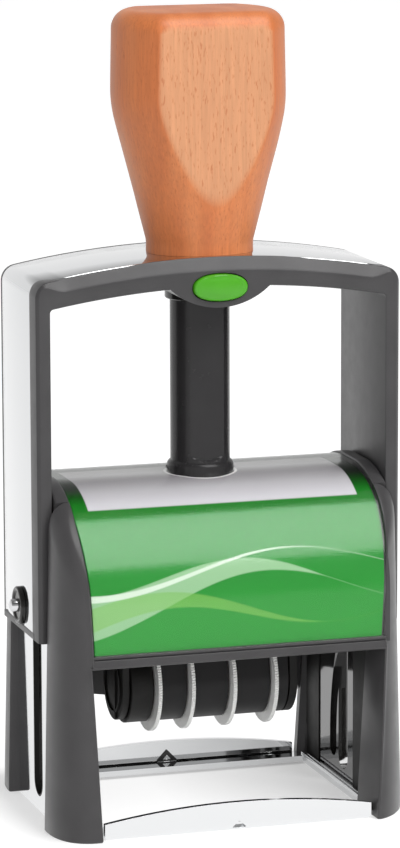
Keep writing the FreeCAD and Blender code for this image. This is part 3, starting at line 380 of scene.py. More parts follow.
def axes_of(finish, vector):
    """The X, Y and Z outputs of a vector."""
    return node(finish, "ShaderNodeSeparateXYZ", in_Vector=vector).outputs


# %% [markdown]
# Two recipes return in nearly every finish: a fine relief, and a slow drift of tone and gloss.

# %% Relief and drift


def skin_bump(finish, vector, scale, height, strength, detail=3.0):
    """A fine relief, such as the skin that a mould leaves."""
    grain = noise(finish, vector, scale, detail)
    made = node(finish, "ShaderNodeBump", in_Height=grain, in_Strength=strength, in_Distance=height * MM)
    feed(finish, "Normal", made.outputs["Normal"])


def clouded(finish, tones, scale, rough_range=None):
    """Let the colour, and if wanted the gloss, drift a little over the surface."""
    spot = places(finish)
    cloud = noise(finish, spot, scale, 3.0)
    feed(finish, "Base Color", ramp(finish, cloud, (0.3, tones[0]), (0.7, tones[1])))
    if rough_range:
        smear = noise(finish, spot, scale * 2.3, 4.0, 0.6)
        feed(finish, "Roughness", ramp(finish, smear, (0.3, rough_range[0]), (0.7, rough_range[1])))
    return spot


# %% [markdown]
# The dark parts of the body are ABS in two grades: a satin graphite outside, and a black that
# comes glossy out of a polished mould inside. The wheels and the button are the same plastic
# in other colours.

# %% Plastics


def moulded(name, slot, dark, light, rough, grain=0.004, gloss=0.5):
    finish = new_finish(name, slot, light, rough, Specular_IOR_Level=gloss)
    spot = clouded(finish, (dark, light), 0.12, (rough - 0.03, rough + 0.04))
    skin_bump(finish, spot, 4.5, grain, 0.5)
    return finish


graphite = moulded("graphite", "graphite_plastic", screen(61, 60, 61), screen(67, 66, 67), 0.32, gloss=0.3)
black = moulded("black", "black_plastic", screen(24, 23, 22), screen(30, 29, 28), 0.16, 0.002)
gloss_black = moulded("gloss_black", "black_plastic", screen(24, 23, 22), screen(30, 29, 28), 0.1, 0.001, 1.0)
gloss_black.node_tree.nodes["Principled BSDF"].inputs["IOR"].default_value = 1.7
matt_black = moulded("matt_black", "black_plastic", screen(19, 18, 17), screen(24, 23, 22), 0.55, 0.004, 0.3)
column_tones = screen(40, 39, 40), screen(44, 43, 44)
column_black = moulded("column_black", "black_plastic", *column_tones, 0.24, 0.002, 0.25)
green = moulded("green", "green_plastic", screen(63, 147, 18), screen(69, 154, 22), 0.3, 0.002)
white = moulded("white", "white_plastic", screen(244, 244, 242), screen(249, 249, 247), 0.42, 0.003)
plastics = graphite, black, gloss_black, matt_black, column_black, green, white
print("plastics:", ", ".join(finish.name for finish in plastics))

# %% [markdown]
# The strap, side plates and base are steel with bright chrome. A perfect mirror looks false,
# because rolled sheet is never quite flat: a very low, wide relief bends the reflections a
# little. Pins and screws are plain steel with a finer, rougher face.

# %% Metals


def metal(name, slot, colour, rough, wave, scale=0.05):
    finish = new_finish(name, slot, colour, rough, 1.0)
    spot = places(finish)
    smear = noise(finish, spot, 0.25, 4.0, 0.6)
    feed(finish, "Roughness", ramp(finish, smear, (0.3, rough * 0.8), (0.75, rough * 1.4)))
    skin_bump(finish, spot, scale, wave, 0.6, 1.0)
    return finish


chrome = metal("chrome", "chrome", screen(219, 220, 221), 0.055, 0.012)
steel = metal("steel", "steel", screen(190, 190, 192), 0.28, 0.003, 1.5)
pin_steel = metal("pin_steel", "pin_steel", screen(208, 208, 210), 0.14, 0.002, 0.8)
print("metals:", chrome.name, steel.name, pin_steel.name)

# %% [markdown]
# ## Beech
#
# Steamed beech is pink-brown and nearly even, with short darker flecks a millimetre or two
# long that stand upright on this handle, where the rays are cut across. Broad bands of tone
# follow the growth rings. The flecks are noise squeezed in two directions, of which only the
# crests show. The planed flats took up less oil, so they are paler than the turned sides.
# An oil finish leaves the wood satin.

# %% Wood of the handle

beech = new_finish("beech", "beech", screen(196, 113, 63), 0.42, Specular_IOR_Level=0.45)
fibre = places(beech, (1.0, 1.0, 0.05))
rings_place = places(beech, (1.0, 0.5, 0.03))
bands = noise(beech, rings_place, 0.16, 2.0)
wood_tone = ramp(
    beech, bands, (0.3, screen(184, 101, 55)), (0.5, screen(196, 113, 63)), (0.72, screen(207, 127, 76))
)
from_middle = math_node(beech, "ABSOLUTE", axes_of(beech, places(beech))["Y"])
planed = spread(beech, from_middle, 14.1, 14.45, 0.0, 0.75)
wood_tone = blend_colours(beech, planed, wood_tone, screen(200, 148, 110))
strands = noise(beech, fibre, 1.9, 3.0, 0.6)
strand_tone = ramp(beech, strands, (0.3, 0.86), (0.7, 1.05))
wood_tone = blend_colours(beech, 1.0, wood_tone, strand_tone, "MULTIPLY")
fleck_place = places(beech, (3.0, 3.0, 0.62))
flecks = noise(beech, fleck_place, 1.0, 1.5)
fleck_mask = ramp(beech, flecks, (0.58, 0.0), (0.72, 0.6))
wood_tone = blend_colours(beech, fleck_mask, wood_tone, screen(168, 92, 48))
feed(beech, "Base Color", wood_tone)
fleck_relief = node(beech, "ShaderNodeBump", in_Height=flecks, in_Strength=0.2, in_Distance=0.02 * MM)
feed(beech, "Normal", fleck_relief.outputs["Normal"])
feed(beech, "Roughness", ramp(beech, strands, (0.3, 0.38), (0.7, 0.5)))
print("wood:", beech.name, "with", len(beech.node_tree.nodes), "nodes")

# %% [markdown]
# ## Handle
#
# The grip is turned on a lathe and then planed flat in front and behind, so each flat ends
# below in a point where the round foot is narrower than the flats are apart. A boolean would
# leave the corner between round and flat razor sharp. Here each ring of points takes the
# smaller of the two distances, with a smooth change from one to the other, as sanding leaves
# it. The foot follows the arch of the strap, and the bore lets the column rise into the wood.

# %% Sizes of the handle

CROWN_TOP = 126.2
CROWN_RADIUS = 206.0
HANDLE_TOP = 180.2
GRIP = [(126.0, 12.0), (128.4, 12.0), (130.0, 12.4), (135.3, 13.76), (140.7, 15.07), (146.0, 16.44)]
GRIP += [(151.4, 17.85), (154.1, 18.5), (156.7, 19.05), (159.4, 19.4), (162.1, 19.5), (175.2, 19.25)]
GRIP_FLAT = 14.48
GRIP_EDGE = 4.3
GRIP_LEAN = -0.22
CORNER_TURNS = (-4.8, -3.2, -2.0, -1.0, 0.0, 1.0, 2.0, 3.2, 4.8, 7.0)
BORE = 7.3
BORE_TOP = 172.4


def crown(x):
    """Height of the yoke's arched top at x."""
    return CROWN_TOP - CROWN_RADIUS + sqrt(CROWN_RADIUS**2 - x * x)


def smooth_along(table, place):
    """As along, but on a smooth curve through the pairs."""
    for i in range(len(table) - 1):
        if place <= table[i + 1][0] or i == len(table) - 2:
            break
    (p1, v1), (p2, v2) = table[i], table[i + 1]
    p0, v0 = table[max(i - 1, 0)]
    p3, v3 = table[min(i + 2, len(table) - 1)]
    t = clamp((place - p1) / (p2 - p1))
    m1 = (v2 - v0) / (p2 - p0) * (p2 - p1)
    m2 = (v3 - v1) / (p3 - p1) * (p2 - p1)
    start = (2 * t**3 - 3 * t**2 + 1) * v1 + (t**3 - 2 * t**2 + t) * m1
    return start + (3 * t**2 - 2 * t**3) * v2 + (t**3 - t**2) * m2


def grip_ring(radius, flat, blend=0.8):
    """A circle with a flat in front and behind, and more points where the two meet."""
    corner = degrees(acos(min(flat / radius, cos(radians(8.0)))))
    quarter = [(corner - 7.0) * i / 5 for i in range(6)] + [corner + t for t in CORNER_TURNS]
    quarter += [mix(corner + 7.0, 90.0, i / 8) for i in range(1, 9)]
    half = quarter + [180.0 - t for t in quarter[-2::-1]]
    ring = []
    for turn in half + [360.0 - t for t in half[-2:0:-1]]:
        across, ahead = sin(radians(turn)), -cos(radians(turn))
        to_flat = flat / max(abs(ahead), 1e-6)
        near = max(blend - abs(radius - to_flat), 0.0) / blend
        reach = min(radius, to_flat) - near * near * blend / 4
        ring.append((reach * across, reach * ahead))
    return ring


# %% [markdown]
# The rings run up the outside, over a rounded edge and in to the middle of the crown. The bore
# continues them downwards with the same number of points, so one skin makes the whole grip.

# %% Handle


def build_handle():
    bm = bmesh.new()
    shoulder = HANDLE_TOP - 0.3 - GRIP_EDGE
    rings = []
    for i in range(57):
        z = mix(CROWN_TOP, shoulder, i / 56)
        fade = max(0.0, 1 - (z - CROWN_TOP) / 9) ** 2
        outline = grip_ring(smooth_along(GRIP, z), GRIP_FLAT)
        rings.append([Vector((x, y, z + 0.03 + (crown(x) - CROWN_TOP) * fade)) for x, y in outline])
    for i in range(1, 13):
        turn = pi / 2 * i / 12
        inset = GRIP_EDGE * (1 - cos(turn))
        outline = grip_ring(GRIP[-1][1] - inset, GRIP_FLAT - inset, 1.4)
        rings.append([Vector((x, y, shoulder + GRIP_EDGE * sin(turn))) for x, y in outline])
    last = [p.copy() for p in rings[-1]]
    for share in (0.94, 0.8, 0.6, 0.4, 0.2, 0.02):
        z = HANDLE_TOP - 0.3 * share**2
        rings.append([Vector((p.x * share, p.y * share, z)) for p in last])
    turns = [atan2(p.y, p.x) for p in rings[0]]
    for point in [p for ring in rings for p in ring]:
        point.x += GRIP_LEAN * clamp((point.z - 150.0) / 12.0)
    bore = []
    for radius, height in ((BORE, None), (BORE, BORE_TOP), (0.05, BORE_TOP)):
        ring = []
        for turn in turns:
            low = crown(radius * cos(turn)) + 0.03
            ring.append(Vector((radius * cos(turn), radius * sin(turn), low if height is None else height)))
        bore.append(ring)
    skin(bm, bore[::-1] + rings)
    print("handle rings:", len(rings), "of", len(last))
    add_piece("handle_wood", bm, beech, "yoke", ["handle"], smooth=50)


build_handle()

# %% [markdown]
# ## Yoke
#
# The yoke is an upside-down U that carries the handle down over the housing. A chromed strap
# lies round a graphite moulding, which shows as a broad rim in front and a narrow bead behind.
# Both follow the same two lines: an outer one with rounded shoulders and an inner one that is
# nearly square. A section swept between the two lines gives both pieces; a bevelled box would
# not follow the arch.

# %% Lines of the yoke

YOKE_HALF = 41.95
ARM_END = 42.0
ARM_WIDTH = 3.25
BEAM_UNDER = 119.9
INNER_RADIUS = 210.0
SHOULDER = 3.6


def yoke_half_line(half, radius, crest, corner):
    """From the right arm's end up to the middle of the arch."""
    arm_steps, bend_steps, top_steps = 6, 12, 26
    centre = crest - radius
    x = half - corner
    z = centre + sqrt((radius - corner) ** 2 - x * x)
    lean = degrees(atan2(z - centre, x))
    line = [(half, mix(ARM_END, z, i / arm_steps)) for i in range(arm_steps)]
    line += arc((x, z), corner, 0, lean, bend_steps)[:-1]
    line += arc((0, centre), radius, lean, 90, top_steps)
    return line


def mirrored(line):
    return line + [(-x, z) for x, z in line[-2::-1]]


outer_line = mirrored(yoke_half_line(YOKE_HALF, CROWN_RADIUS, CROWN_TOP, SHOULDER))
inner_line = mirrored(yoke_half_line(YOKE_HALF - ARM_WIDTH, INNER_RADIUS, BEAM_UNDER, 0.9))
print("yoke: %.1f mm wide, %d places along its line" % (2 * YOKE_HALF, len(outer_line)))


def inward(line, i):
    """The direction from the outer line into the yoke."""
    (x0, z0), (x1, z1) = line[max(i - 1, 0)], line[min(i + 1, len(line) - 1)]
    step = Vector((x1 - x0, z1 - z0)).normalized()
    return Vector((-step.y, step.x))


def sweep_yoke(bm, section):
    """Skin a section along the yoke.

    The section gives (depth, y, keep) at each place: depth counts inwards from the outer line,
    or is None for the inner line, from which the point then keeps a distance."""
    rings = []
    for i, (outer, inner) in enumerate(zip(outer_line, inner_line)):
        into = inward(outer_line, i)
        ring = []
        for depth, y, keep in section(i):
            if depth is None:
                back = (Vector(outer) - Vector(inner)).normalized()
                spot = Vector(inner) + back * keep
            else:
                spot = Vector(outer) + into * depth
            ring.append(Vector((spot.x, y, spot.y)))
        rings.append(ring)
    skin(bm, rings)


# %% [markdown]
# In front the moulding has a slanting facet under a thin crest, behind it a narrow bead, and
# between the two a seat for the strap. One section bent round the yoke would be too broad on
# the arms, so functions give the section for each place on the line. The strap's front edge
# moves back from the arch to the arms with it.

# %% Sections of the moulding and the strap

FACE = -15.65
BEAD = 14.25
REAR = 15.65
STRAP = 1.6


def arm_share(i):
    """0 on the arch and 1 on the arms, with a smooth change over the shoulder."""
    t = clamp((abs(outer_line[i][0]) - 35.5) / 5.6)
    return t * t * (3 - 2 * t)


def strap_front(i):
    """The strap's front edge lies further back on the arms than on the arch."""
    return mix(-13.7, -9.75, arm_share(i))


def moulding_section(i):
    """A slanting facet in front, deep on the arch and narrow on the arms, under a thin crest."""
    arm = arm_share(i)
    beside_grip = clamp((abs(outer_line[i][0]) - 15.0) / 8.0)
    drop, back = mix(2.9, 0.7, arm), mix(1.5, 0.7, arm)
    lift = mix(mix(0.12, -0.2, beside_grip), 0.03, arm)
    groove = strap_front(i)
    low, high = Vector((drop, FACE)), Vector((-lift, FACE + back))
    points = [(None, FACE + 0.5, 0.0), (None, FACE + 0.15, 0.15), (None, FACE, 0.5)]
    points += [(drop + 0.4, FACE, 0.0), (drop + 0.12, FACE + 0.02, 0.0)]
    points += [(*low.lerp(high, t), 0.0) for t in (0.06, 0.2, 0.5, 0.82, 0.92)]
    points += [(-lift + 0.03, FACE + back + 0.02, 0.0), (-lift, FACE + back + 0.16, 0.0)]
    points += [(-lift, groove - 0.12, 0.0), (-lift + 0.1, groove - 0.02, 0.0), (STRAP + 0.02, groove, 0.0)]
    points += [(STRAP + 0.02, BEAD, 0.0), (0.15, BEAD + 0.03, 0.0), (0.0, BEAD + 0.2, 0.0)]
    points += [(0.0, REAR - 0.4, 0.0), (0.12, REAR - 0.12, 0.0), (0.4, REAR, 0.0)]
    points += [(None, REAR, 0.4), (None, REAR - 0.12, 0.12), (None, REAR - 0.4, 0.0)]
    return points


def strap_section(i):
    """A flat strip with its two outer edges rounded, a hair off the moulding all round."""
    edge = 0.22
    low, high = strap_front(i) + 0.02, BEAD - 0.02
    quarter = (0, pi / 6, pi / 3, pi / 2)
    points = [(edge * (1 - sin(a)), low + edge * (1 - cos(a)), 0.0) for a in quarter]
    points += [(edge * (1 - cos(a)), high - edge * (1 - sin(a)), 0.0) for a in quarter]
    return points + [(STRAP, high, 0.0), (STRAP, low, 0.0)]


# %% Moulding and strap of the yoke

bm = bmesh.new()
sweep_yoke(bm, moulding_section)
yoke_moulding = add_piece("yoke_moulding", bm, graphite, "yoke", ["yoke_frame"], smooth=32)
bm = bmesh.new()
sweep_yoke(bm, strap_section)
yoke_strap = add_piece("yoke_strap_chrome", bm, chrome, "yoke", ["yoke_strap"], smooth=32)

# %% [markdown]
# A boss hangs under the middle of the beam. It guides the column and holds the lock button in
# an oval pocket. The boss is joined to the moulding and the openings are cut by a boolean, the
# way the mould's core pins leave them.

# %% Sizes of the boss, and the oval of its pocket

HUB_UNDER = 115.2
HUB_RADIUS = 17.0
HUB_HALF = 11.6
BUTTON_Z = 119.7
POCKET_END = -9.35
SLEEVE = 7.88


def oval(half, tall):
    """A full oval, a little squarer than an ellipse."""
    steps, power = 72, 2.25
    outline = []
    for i in range(steps):
        turn = 2 * pi * i / steps
        u = half * abs(cos(turn)) ** (2 / power) * (1 if cos(turn) >= 0 else -1)
        v = tall * abs(sin(turn)) ** (2 / power) * (1 if sin(turn) >= 0 else -1)
        outline.append((u, BUTTON_Z + v))
    return outline


# %% Boss, pocket and bores

hub_side = degrees(asin(HUB_HALF / HUB_RADIUS))
hub = arc((0, HUB_UNDER + HUB_RADIUS), HUB_RADIUS, 270 - hub_side, 270 + hub_side, 28)
edge_z = hub[-1][1]
hub += [(HUB_HALF + 1.1, edge_z + 0.28), (HUB_HALF + 1.4, BEAM_UNDER + 1.5)]
hub += [(-HUB_HALF - 1.4, BEAM_UNDER + 1.5), (-HUB_HALF - 1.1, edge_z + 0.28)]
bm = bmesh.new()
slab(bm, "y", FACE, 9.6, hub)
cut_away(yoke_moulding, bm, join=True)
bm = bmesh.new()
slab(bm, "y", FACE - 2, POCKET_END, oval(6.45, 3.25))
cut_away(yoke_moulding, bm)
AXLE = 46.6
for form, hole in ((yoke_moulding, SLEEVE), (yoke_strap, BORE)):
    bm = bmesh.new()
    slab(bm, "z", HUB_UNDER - 2, CROWN_TOP + 2, circle((0, 0), hole, 64))
    cut_away(form, bm)
    bm = bmesh.new()
    slab(bm, "x", -60, 60, circle((0, AXLE), 3.85, 40))
    cut_away(form, bm)
break_edges(yoke_moulding, 0.25, 3, 50)
print("yoke_moulding: %d faces after the cuts" % len(yoke_moulding.data.polygons))

# %% [markdown]
# The moulding is folded out under the strap's lower ends, which makes a narrow dark hem there.

# %% Hems of the arms

bm = bmesh.new()
for side in (-1, 1):
    low, high = ARM_END + 0.02, ARM_END + 1.5
    hem = [(41.6, low, 0.05), (42.06, low, 0.15), (42.06, high, 0.15), (41.6, high, 0.05)]
    slab(bm, "y", -11.0, 15.0, rounded([(side * x, z, r) for x, z, r in hem], 3))
add_piece("yoke_hems", bm, graphite, "yoke", ["yoke_frame"], smooth=30)

# %% [markdown]
# The lock button is a loose moulding with a gently crowned face and a raised lip. Its face
# stands a little proud of the boss so that a thumb finds it.

# %% Lock button

BUTTON_FACE = -16.95
BUTTON_BACK = -11.95
crowned = [(0.02, -0.35), (0.4, -0.3), (0.7, -0.14), (0.84, 0.02), (0.9, -0.02)]
crowned += [(0.95, 0.03), (0.985, 0.2), (1.0, 0.5)]
profile = [(share, BUTTON_FACE + 0.35 + y) for share, y in crowned]
bm = bmesh.new()
rings = []
for share, y in profile + [(1.0, BUTTON_BACK), (0.6, BUTTON_BACK)]:
    outline = oval(6.2 * share, 6.2 * share - 3.2 if share > 0.9 else 3.0 * share)
    rings.append([Vector((x, y, z)) for x, z in outline])
skin(bm, rings)
add_piece("lock_button_key", bm, green, "button", ["lock_button"], smooth=50)

# %% [markdown]
# A small spring pushes the button out. A spring is a ring of points carried along a screw line.
# Its first and last turns lie flat, as they do on a real compression spring.

# %% Spring of the button


def coil(bm, axis, centre, radius, wire, low, high, turns, steps):
    """A wound spring with closed flat ends."""
    total, sides = int(turns * steps), 8
    rings = []
    for i in range(total + 1):
        share = i / total
        eased = clamp((share * turns - 0.8) / (turns - 1.6))
        height = mix(low + wire, high - wire, eased)
        turn = 2 * pi * share * turns
        ring = []
        for k in range(sides):
            roll = 2 * pi * k / sides
            reach = radius + wire * cos(roll)
            u = centre[0] + reach * cos(turn)
            v = centre[1] + reach * sin(turn)
            ring.append(put(axis, u, v, height + wire * sin(roll)))
        rings.append(ring)
    skin(bm, rings)


bm = bmesh.new()
coil(bm, "y", (0, BUTTON_Z), 1.6, 0.2, BUTTON_BACK, POCKET_END, 4.5, 24)
button_spring = add_piece("button_coil", bm, steel, "yoke", ["button_spring"], smooth=60, weld=False)
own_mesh(button_spring)

# %% [markdown]
# ## Bushes, pins and screws
#
# A black bush sits in each arm, and a steel pin through it carries the plate. Everything here
# was made on a lathe, so each is a profile spun about the X axis. Small chamfers catch the
# light at the ends.

# %% Axle bushes and pins

SIDES = ((-1, "left"), (1, "right"))


def chamfered(inner, outer, low, high, edge):
    """The profile of a ring with its outer corners broken."""
    return [
        (inner, low),
        (outer - edge, low),
        (outer, low + edge),
        (outer, high - edge),
        (outer - edge, high),
        (inner, high),
        (inner, low),
    ]


PIN_HEAD = AXLE + 1.1
for side, word in SIDES:
    bm = bmesh.new()
    turned(bm, [(r, side * x) for r, x in chamfered(2.94, 3.8, 38.75, 41.9, 0.1)], "x", (0, AXLE), 56)
    cap = [(1.5, 41.97), (4.1, 41.97), (4.25, 42.1), (4.25, 42.8), (4.08, 43.05), (3.8, 43.15)]
    cap += [(3.35, 43.05), (3.1, 42.75), (1.6, 42.7), (1.5, 42.6), (1.5, 41.97)]
    turned(bm, [(r, side * x) for r, x in cap], "x", (0, PIN_HEAD), 56)
    add_piece("axle_bush_ring_" + word, bm, black, "yoke", ["axle_bush_" + word], smooth=30)
    bm = bmesh.new()
    pin = [(0.02, 29.5), (2.6, 29.5), (2.9, 29.8), (2.9, 41.4), (2.8, 41.5), (0.02, 41.5)]
    turned(bm, [(r, side * x) for r, x in pin], "x", (0, AXLE), 48)
    head = [(0.02, 41.3), (1.45, 41.3), (1.45, 44.1), (1.3, 44.4), (0.9, 44.6), (0.02, 44.65)]
    turned(bm, [(r, side * x) for r, x in head], "x", (0, PIN_HEAD), 40)
    add_piece("axle_pin_turned_" + word, bm, pin_steel, "yoke", ["axle_pin_" + word], smooth=30)

# %% [markdown]
# The column slides in a bush in the boss. A rod from the handle reaches down into the column,
# and its collar presses on the return spring. These are turned too, and hidden, so plain
# profiles do. They show as soon as the stamp is taken apart.

# %% Column bush and plunger rod

SPRING_FOOT = 73.6
COLLAR = 170.8
bm = bmesh.new()
turned(bm, chamfered(6.93, 7.86, 115.42, 124.6, 0.2), steps=72)
add_piece("column_bush_sleeve", bm, black, "yoke", ["column_bush"], smooth=30)
bm = bmesh.new()
rod = [(0.02, 112.0), (2.4, 112.0), (3.0, 112.6), (3.0, COLLAR), (6.2, COLLAR), (6.4, 171.0)]
rod += [(6.4, 172.2), (6.2, BORE_TOP), (2.4, BORE_TOP), (2.4, 176.0), (0.02, 176.0)]
turned(bm, rod, steps=48)
add_piece("plunger_rod_turned", bm, steel, "yoke", ["plunger_rod"], smooth=30)

# %% Screws of the handle


def screw(bm, axis, centre, head_radius, head_low, head_high, shank, end, way=1):
    """A domed head and a plain shank. way is -1 where the head looks to the larger end."""
    low, high = head_low, head_high
    profile = [(0.02, low), (head_radius * 0.6, low + way * 0.02), (head_radius * 0.92, low + way * 0.3)]
    profile += [(head_radius, low + way * 0.6), (head_radius, high), (shank, high)]
    profile += [(shank, end - way * 0.5), (shank * 0.5, end), (0.02, end)]
    turned(bm, profile, axis, centre, 28)


bm = bmesh.new()
for side in (-1, 1):
    screw(bm, "z", (side * 10.3, 0), 2.2, 117.9, 119.5, 1.15, 133.8)
add_piece("handle_screw_pair", bm, steel, "yoke", ["handle_screws"], smooth=30)

# %% [markdown]
# ## Guide column
#
# The column is a black tube with a flared foot on the hood. Its front is flattened into a
# shallow flute that ends in a curved lip above the foot. Rings of points are pushed back to
# the flute's floor wherever they stand in front of it, so the edge between round and flat
# stays crisp.

# %% Guide column

COLUMN = 6.72
FLUTE_HALF = 3.6
FLUTE_FLOOR = sqrt(COLUMN**2 - FLUTE_HALF**2) - 0.12


def column_ring(radius, z, flute):
    """A ring of the column, pushed back to the flute's floor above the curved lip."""
    ring, steps = [], 120
    for i in range(steps):
        turn = 2 * pi * i / steps
        x, y = radius * sin(turn), -radius * cos(turn)
        lip = 78.8 + 0.9 * (x / FLUTE_HALF) ** 2
        depth = clamp((z - lip) / 0.45) if flute else 0.0
        if y < -FLUTE_FLOOR and abs(x) < FLUTE_HALF + 0.6 and depth:
            y = mix(y, -FLUTE_FLOOR, depth)
        ring.append(Vector((x, y, z)))
    return ring


bm = bmesh.new()
levels = [(7.5, 70.6), (7.5, 77.6), (7.44, 77.9), (7.26, 78.2), (7.0, 78.45), (6.8, 78.6)]
rings = [column_ring(r, z, False) for r, z in levels]
rings += [column_ring(COLUMN, 78.66 + 0.15 * i, True) for i in range(14)]
rings += [column_ring(COLUMN, z, True) for z in (84, 95, 108, 121, 133.2)]
rings += [column_ring(6.45, 133.8, True), column_ring(5.2, 134.0, False)]
rings += [column_ring(5.2, SPRING_FOOT, False), column_ring(0.02, SPRING_FOOT, False)]
skin(bm, rings)
slab(bm, "z", 70.5, 72.3, box_outline(-13.5, 13.5, -7.4, 7.4, 2.0))
add_piece("guide_column_tube", bm, column_black, "frame", ["guide_column"], smooth=24, weld=False)

# %% [markdown]
# The return spring stands on the floor of the column's bore and reaches up to the rod's collar.

# %% Return spring

bm = bmesh.new()
coil(bm, "z", (0, 0), 4.1, 0.55, SPRING_FOOT, COLLAR, 24, 20)
return_spring = add_piece("return_coil", bm, steel, "frame", ["return_spring"], smooth=60, weld=False)
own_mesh(return_spring)

# %% [markdown]
# ## Housing
#
# Two graphite shells meet over the hood. Each has two hollow legs that lean in a little and
# end under the hood's arc, so that a leg's top is cut to a crescent. A boolean of an extrusion
# and a cylinder would leave that cut sharp. Instead a function says how far a place lies
# outside the leg, with a rounding that grows towards the top, and at every level rays find its
# outline. All levels have the same number of points, so a skin joins them.

# %% Lines of the hood and legs

HOOD_Z = 50.8
HOOD_Y = 4.2
RIM = 26.4
WINDOW = 26.0
WALL_INNER, WALL_OUTER = 23.2, 24.78
CHANNEL = 16.95
LEG_WALL = 1.7
LABEL_EDGE = [(41.5, 33.4), (57.0, 34.2), (70.0, 35.2), (90.0, 35.2)]
CORNER_WIDE, CORNER_LONG = 9.3, 13.6


def half_width(z):
    return 41.7 - 0.024 * z


def half_depth(z):
    return 31.1 - 0.0098 * z


def inner_edge(z):
    """The leg's inner side: it leans out to the lip, then follows the card."""
    return 31.8 + 2.1 * z / 38.6 if z < 39.6 else along(LABEL_EDGE, z) + 0.06


def leg_distance(x, y, z, narrow, power):
    """How far a place lies outside the leg; negative inside. y counts towards the leg's front."""
    u = max(0.0, x - half_width(z) + narrow + CORNER_WIDE) / CORNER_WIDE
    v = max(0.0, y - half_depth(z) + CORNER_LONG) / CORNER_LONG
    sideways = u * u / (u * u + v * v) if u + v > 0 else 0.5
    plan = ((u**power + v**power) ** (1 / power) - 1) * mix(CORNER_LONG, CORNER_WIDE, sideways)
    if z <= HOOD_Z:
        return plan
    hood = hypot(max(0.0, y - HOOD_Y), z - HOOD_Z) - RIM
    t = min(1.0, (z - HOOD_Z) / 11.0)
    soft = 4.6 * t * t * (3 - 2 * t) * sideways
    return min(max(plan, hood), -soft) + hypot(max(plan + soft, 0.0), max(hood + soft, 0.0))


# %% Outline of a leg at one level


def leg_outline(z, inset, rear, power):
    """One level of a leg: rays from its inner corner find the outline.

    A rear leg is narrower outside, and steps back inside to make room for a panel."""
    rays, narrow = 30, 0.8 if rear else 0.0
    inner = inner_edge(z) + inset
    x0, y0 = max(34.35, inner) if rear else inner, CHANNEL + inset
    found = []
    for i in range(rays + 1):
        turn = radians(90.0 * (1 - i / rays))
        low, high = 0.0, 30.0
        for _ in range(26):
            middle = (low + high) / 2
            if leg_distance(x0 + middle * cos(turn), y0 + middle * sin(turn), z, narrow, power) < -inset:
                low = middle
            else:
                high = middle
        found.append((x0 + low * cos(turn), y0 + low * sin(turn)))
    front, side = found[0][1], found[-1][0]
    edge = min(0.45, 0.05 * (front - y0))
    start = [(x0, y0)]
    if rear:
        start += [(x0, min(26.3, mix(y0, front, 0.7))), (inner, min(27.3, mix(y0, front, 0.8)))]
    start += [(inner, front - edge), (inner + 0.3 * edge, front - 0.3 * edge), (inner + edge, front)]
    end = [(side, y0 + edge), (side - 0.3 * edge, y0 + 0.3 * edge), (side - edge, y0)]
    return start + found[1:-1] + end


# %% Levels of the four legs

leg_levels = [0.3, 6.0, 14.0, 22.0, 30.0, 37.0, 39.5, 39.7, 41.4, 46.0, 50.0]
leg_top = sqrt(RIM**2 - (CHANNEL + 0.12 - HOOD_Y) ** 2)
leg_levels += [HOOD_Z + leg_top * sin(pi / 2 * i / 30) for i in range(31)]


def leg_skin(rear, power):
    """All levels of a leg, from the ceiling of its hollow down and then up the outside."""
    outside = [(z, leg_outline(z, 0.0, rear, power)) for z in leg_levels]
    foot = [(mix(x, 36.5, 0.03), mix(y, 23.0, 0.03)) for x, y in outside[0][1]]
    hollow = [(z, leg_outline(z, LEG_WALL, rear, power)) for z in (26.0, 0.0)]
    return hollow + [(0.0, foot)] + outside


CORNER_POWER = {-1: 2.4, 1: 1.5}
leg_rings = {(side, end): leg_skin(end > 0, CORNER_POWER[side]) for side in (-1, 1) for end in (-1, 1)}
one_leg = leg_rings[1, 1]
print("legs:", len(leg_rings), "with", len(one_leg), "levels of", len(one_leg[0][1]), "points")


def build_leg(bm, side, end):
    skin(bm, [[Vector((side * x, end * y, z)) for x, y in ring] for z, ring in leg_rings[side, end]])


# %% [markdown]
# Between the legs the front shell has a lip under the card, and both shells have a rim that
# stands a millimetre above the card and runs over the hood. The rims and the hood's wall are
# sections swept along the same arc.

# %% Sweeping along the hood


def hood_path(radius, start, end, steps):
    """Places on the hood's line and their outward turn, from start to end in degrees.

    Angles run from the front (0) over the top (90) to the rear (180). The line is straight
    for twice HOOD_Y across the top."""
    path = []
    for i in range(steps + 1):
        turn = mix(start, end, i / steps)
        shift = HOOD_Y if turn > 90 else -HOOD_Y
        path.append((shift - radius * cos(radians(turn)), HOOD_Z + radius * sin(radians(turn)), turn))
        following = mix(start, end, (i + 1) / steps)
        if turn < 90 < following or (turn == 90 and i < steps):
            path.append((-HOOD_Y, HOOD_Z + radius, 90.0))
            path.append((HOOD_Y, HOOD_Z + radius, 90.0001))
    clean = []
    for spot in path:
        if not clean or hypot(spot[0] - clean[-1][0], spot[1] - clean[-1][1]) > 1e-4:
            clean.append(spot)
    return clean


def sweep_hood(bm, outline, start, end, steps, foot=None):
    """Skin a section of (x, radius) along the hood. foot drops the front end straight down."""
    rings = []
    if foot is not None:
        rings.append([Vector((x, -(HOOD_Y + r), foot)) for x, r in outline])
    for y, z, turn in hood_path(1.0, start, end, steps):
        ahead, up = -cos(radians(turn)), sin(radians(turn))
        rings.append([Vector((x, y - ahead + ahead * r, HOOD_Z + up * r)) for x, r in outline])
    skin(bm, rings)


def turn_at_depth(y, radius):
    """How far round the hood an arc lies y from the middle, counted from its foot."""
    return degrees(asin(sqrt(1 - ((y - HOOD_Y) / radius) ** 2)))


def turn_at_height(z):
    """The turn at which the rear of the window's arc has the height z."""
    return 180 - degrees(asin((z - HOOD_Z) / WINDOW))


# %% Rims, lip and wall of the front shell

SEAM_TURN = 180 - turn_at_depth(10.5, RIM)
SEAM_GAP = 0.15
CHANNEL_TURN = turn_at_depth(CHANNEL, RIM)


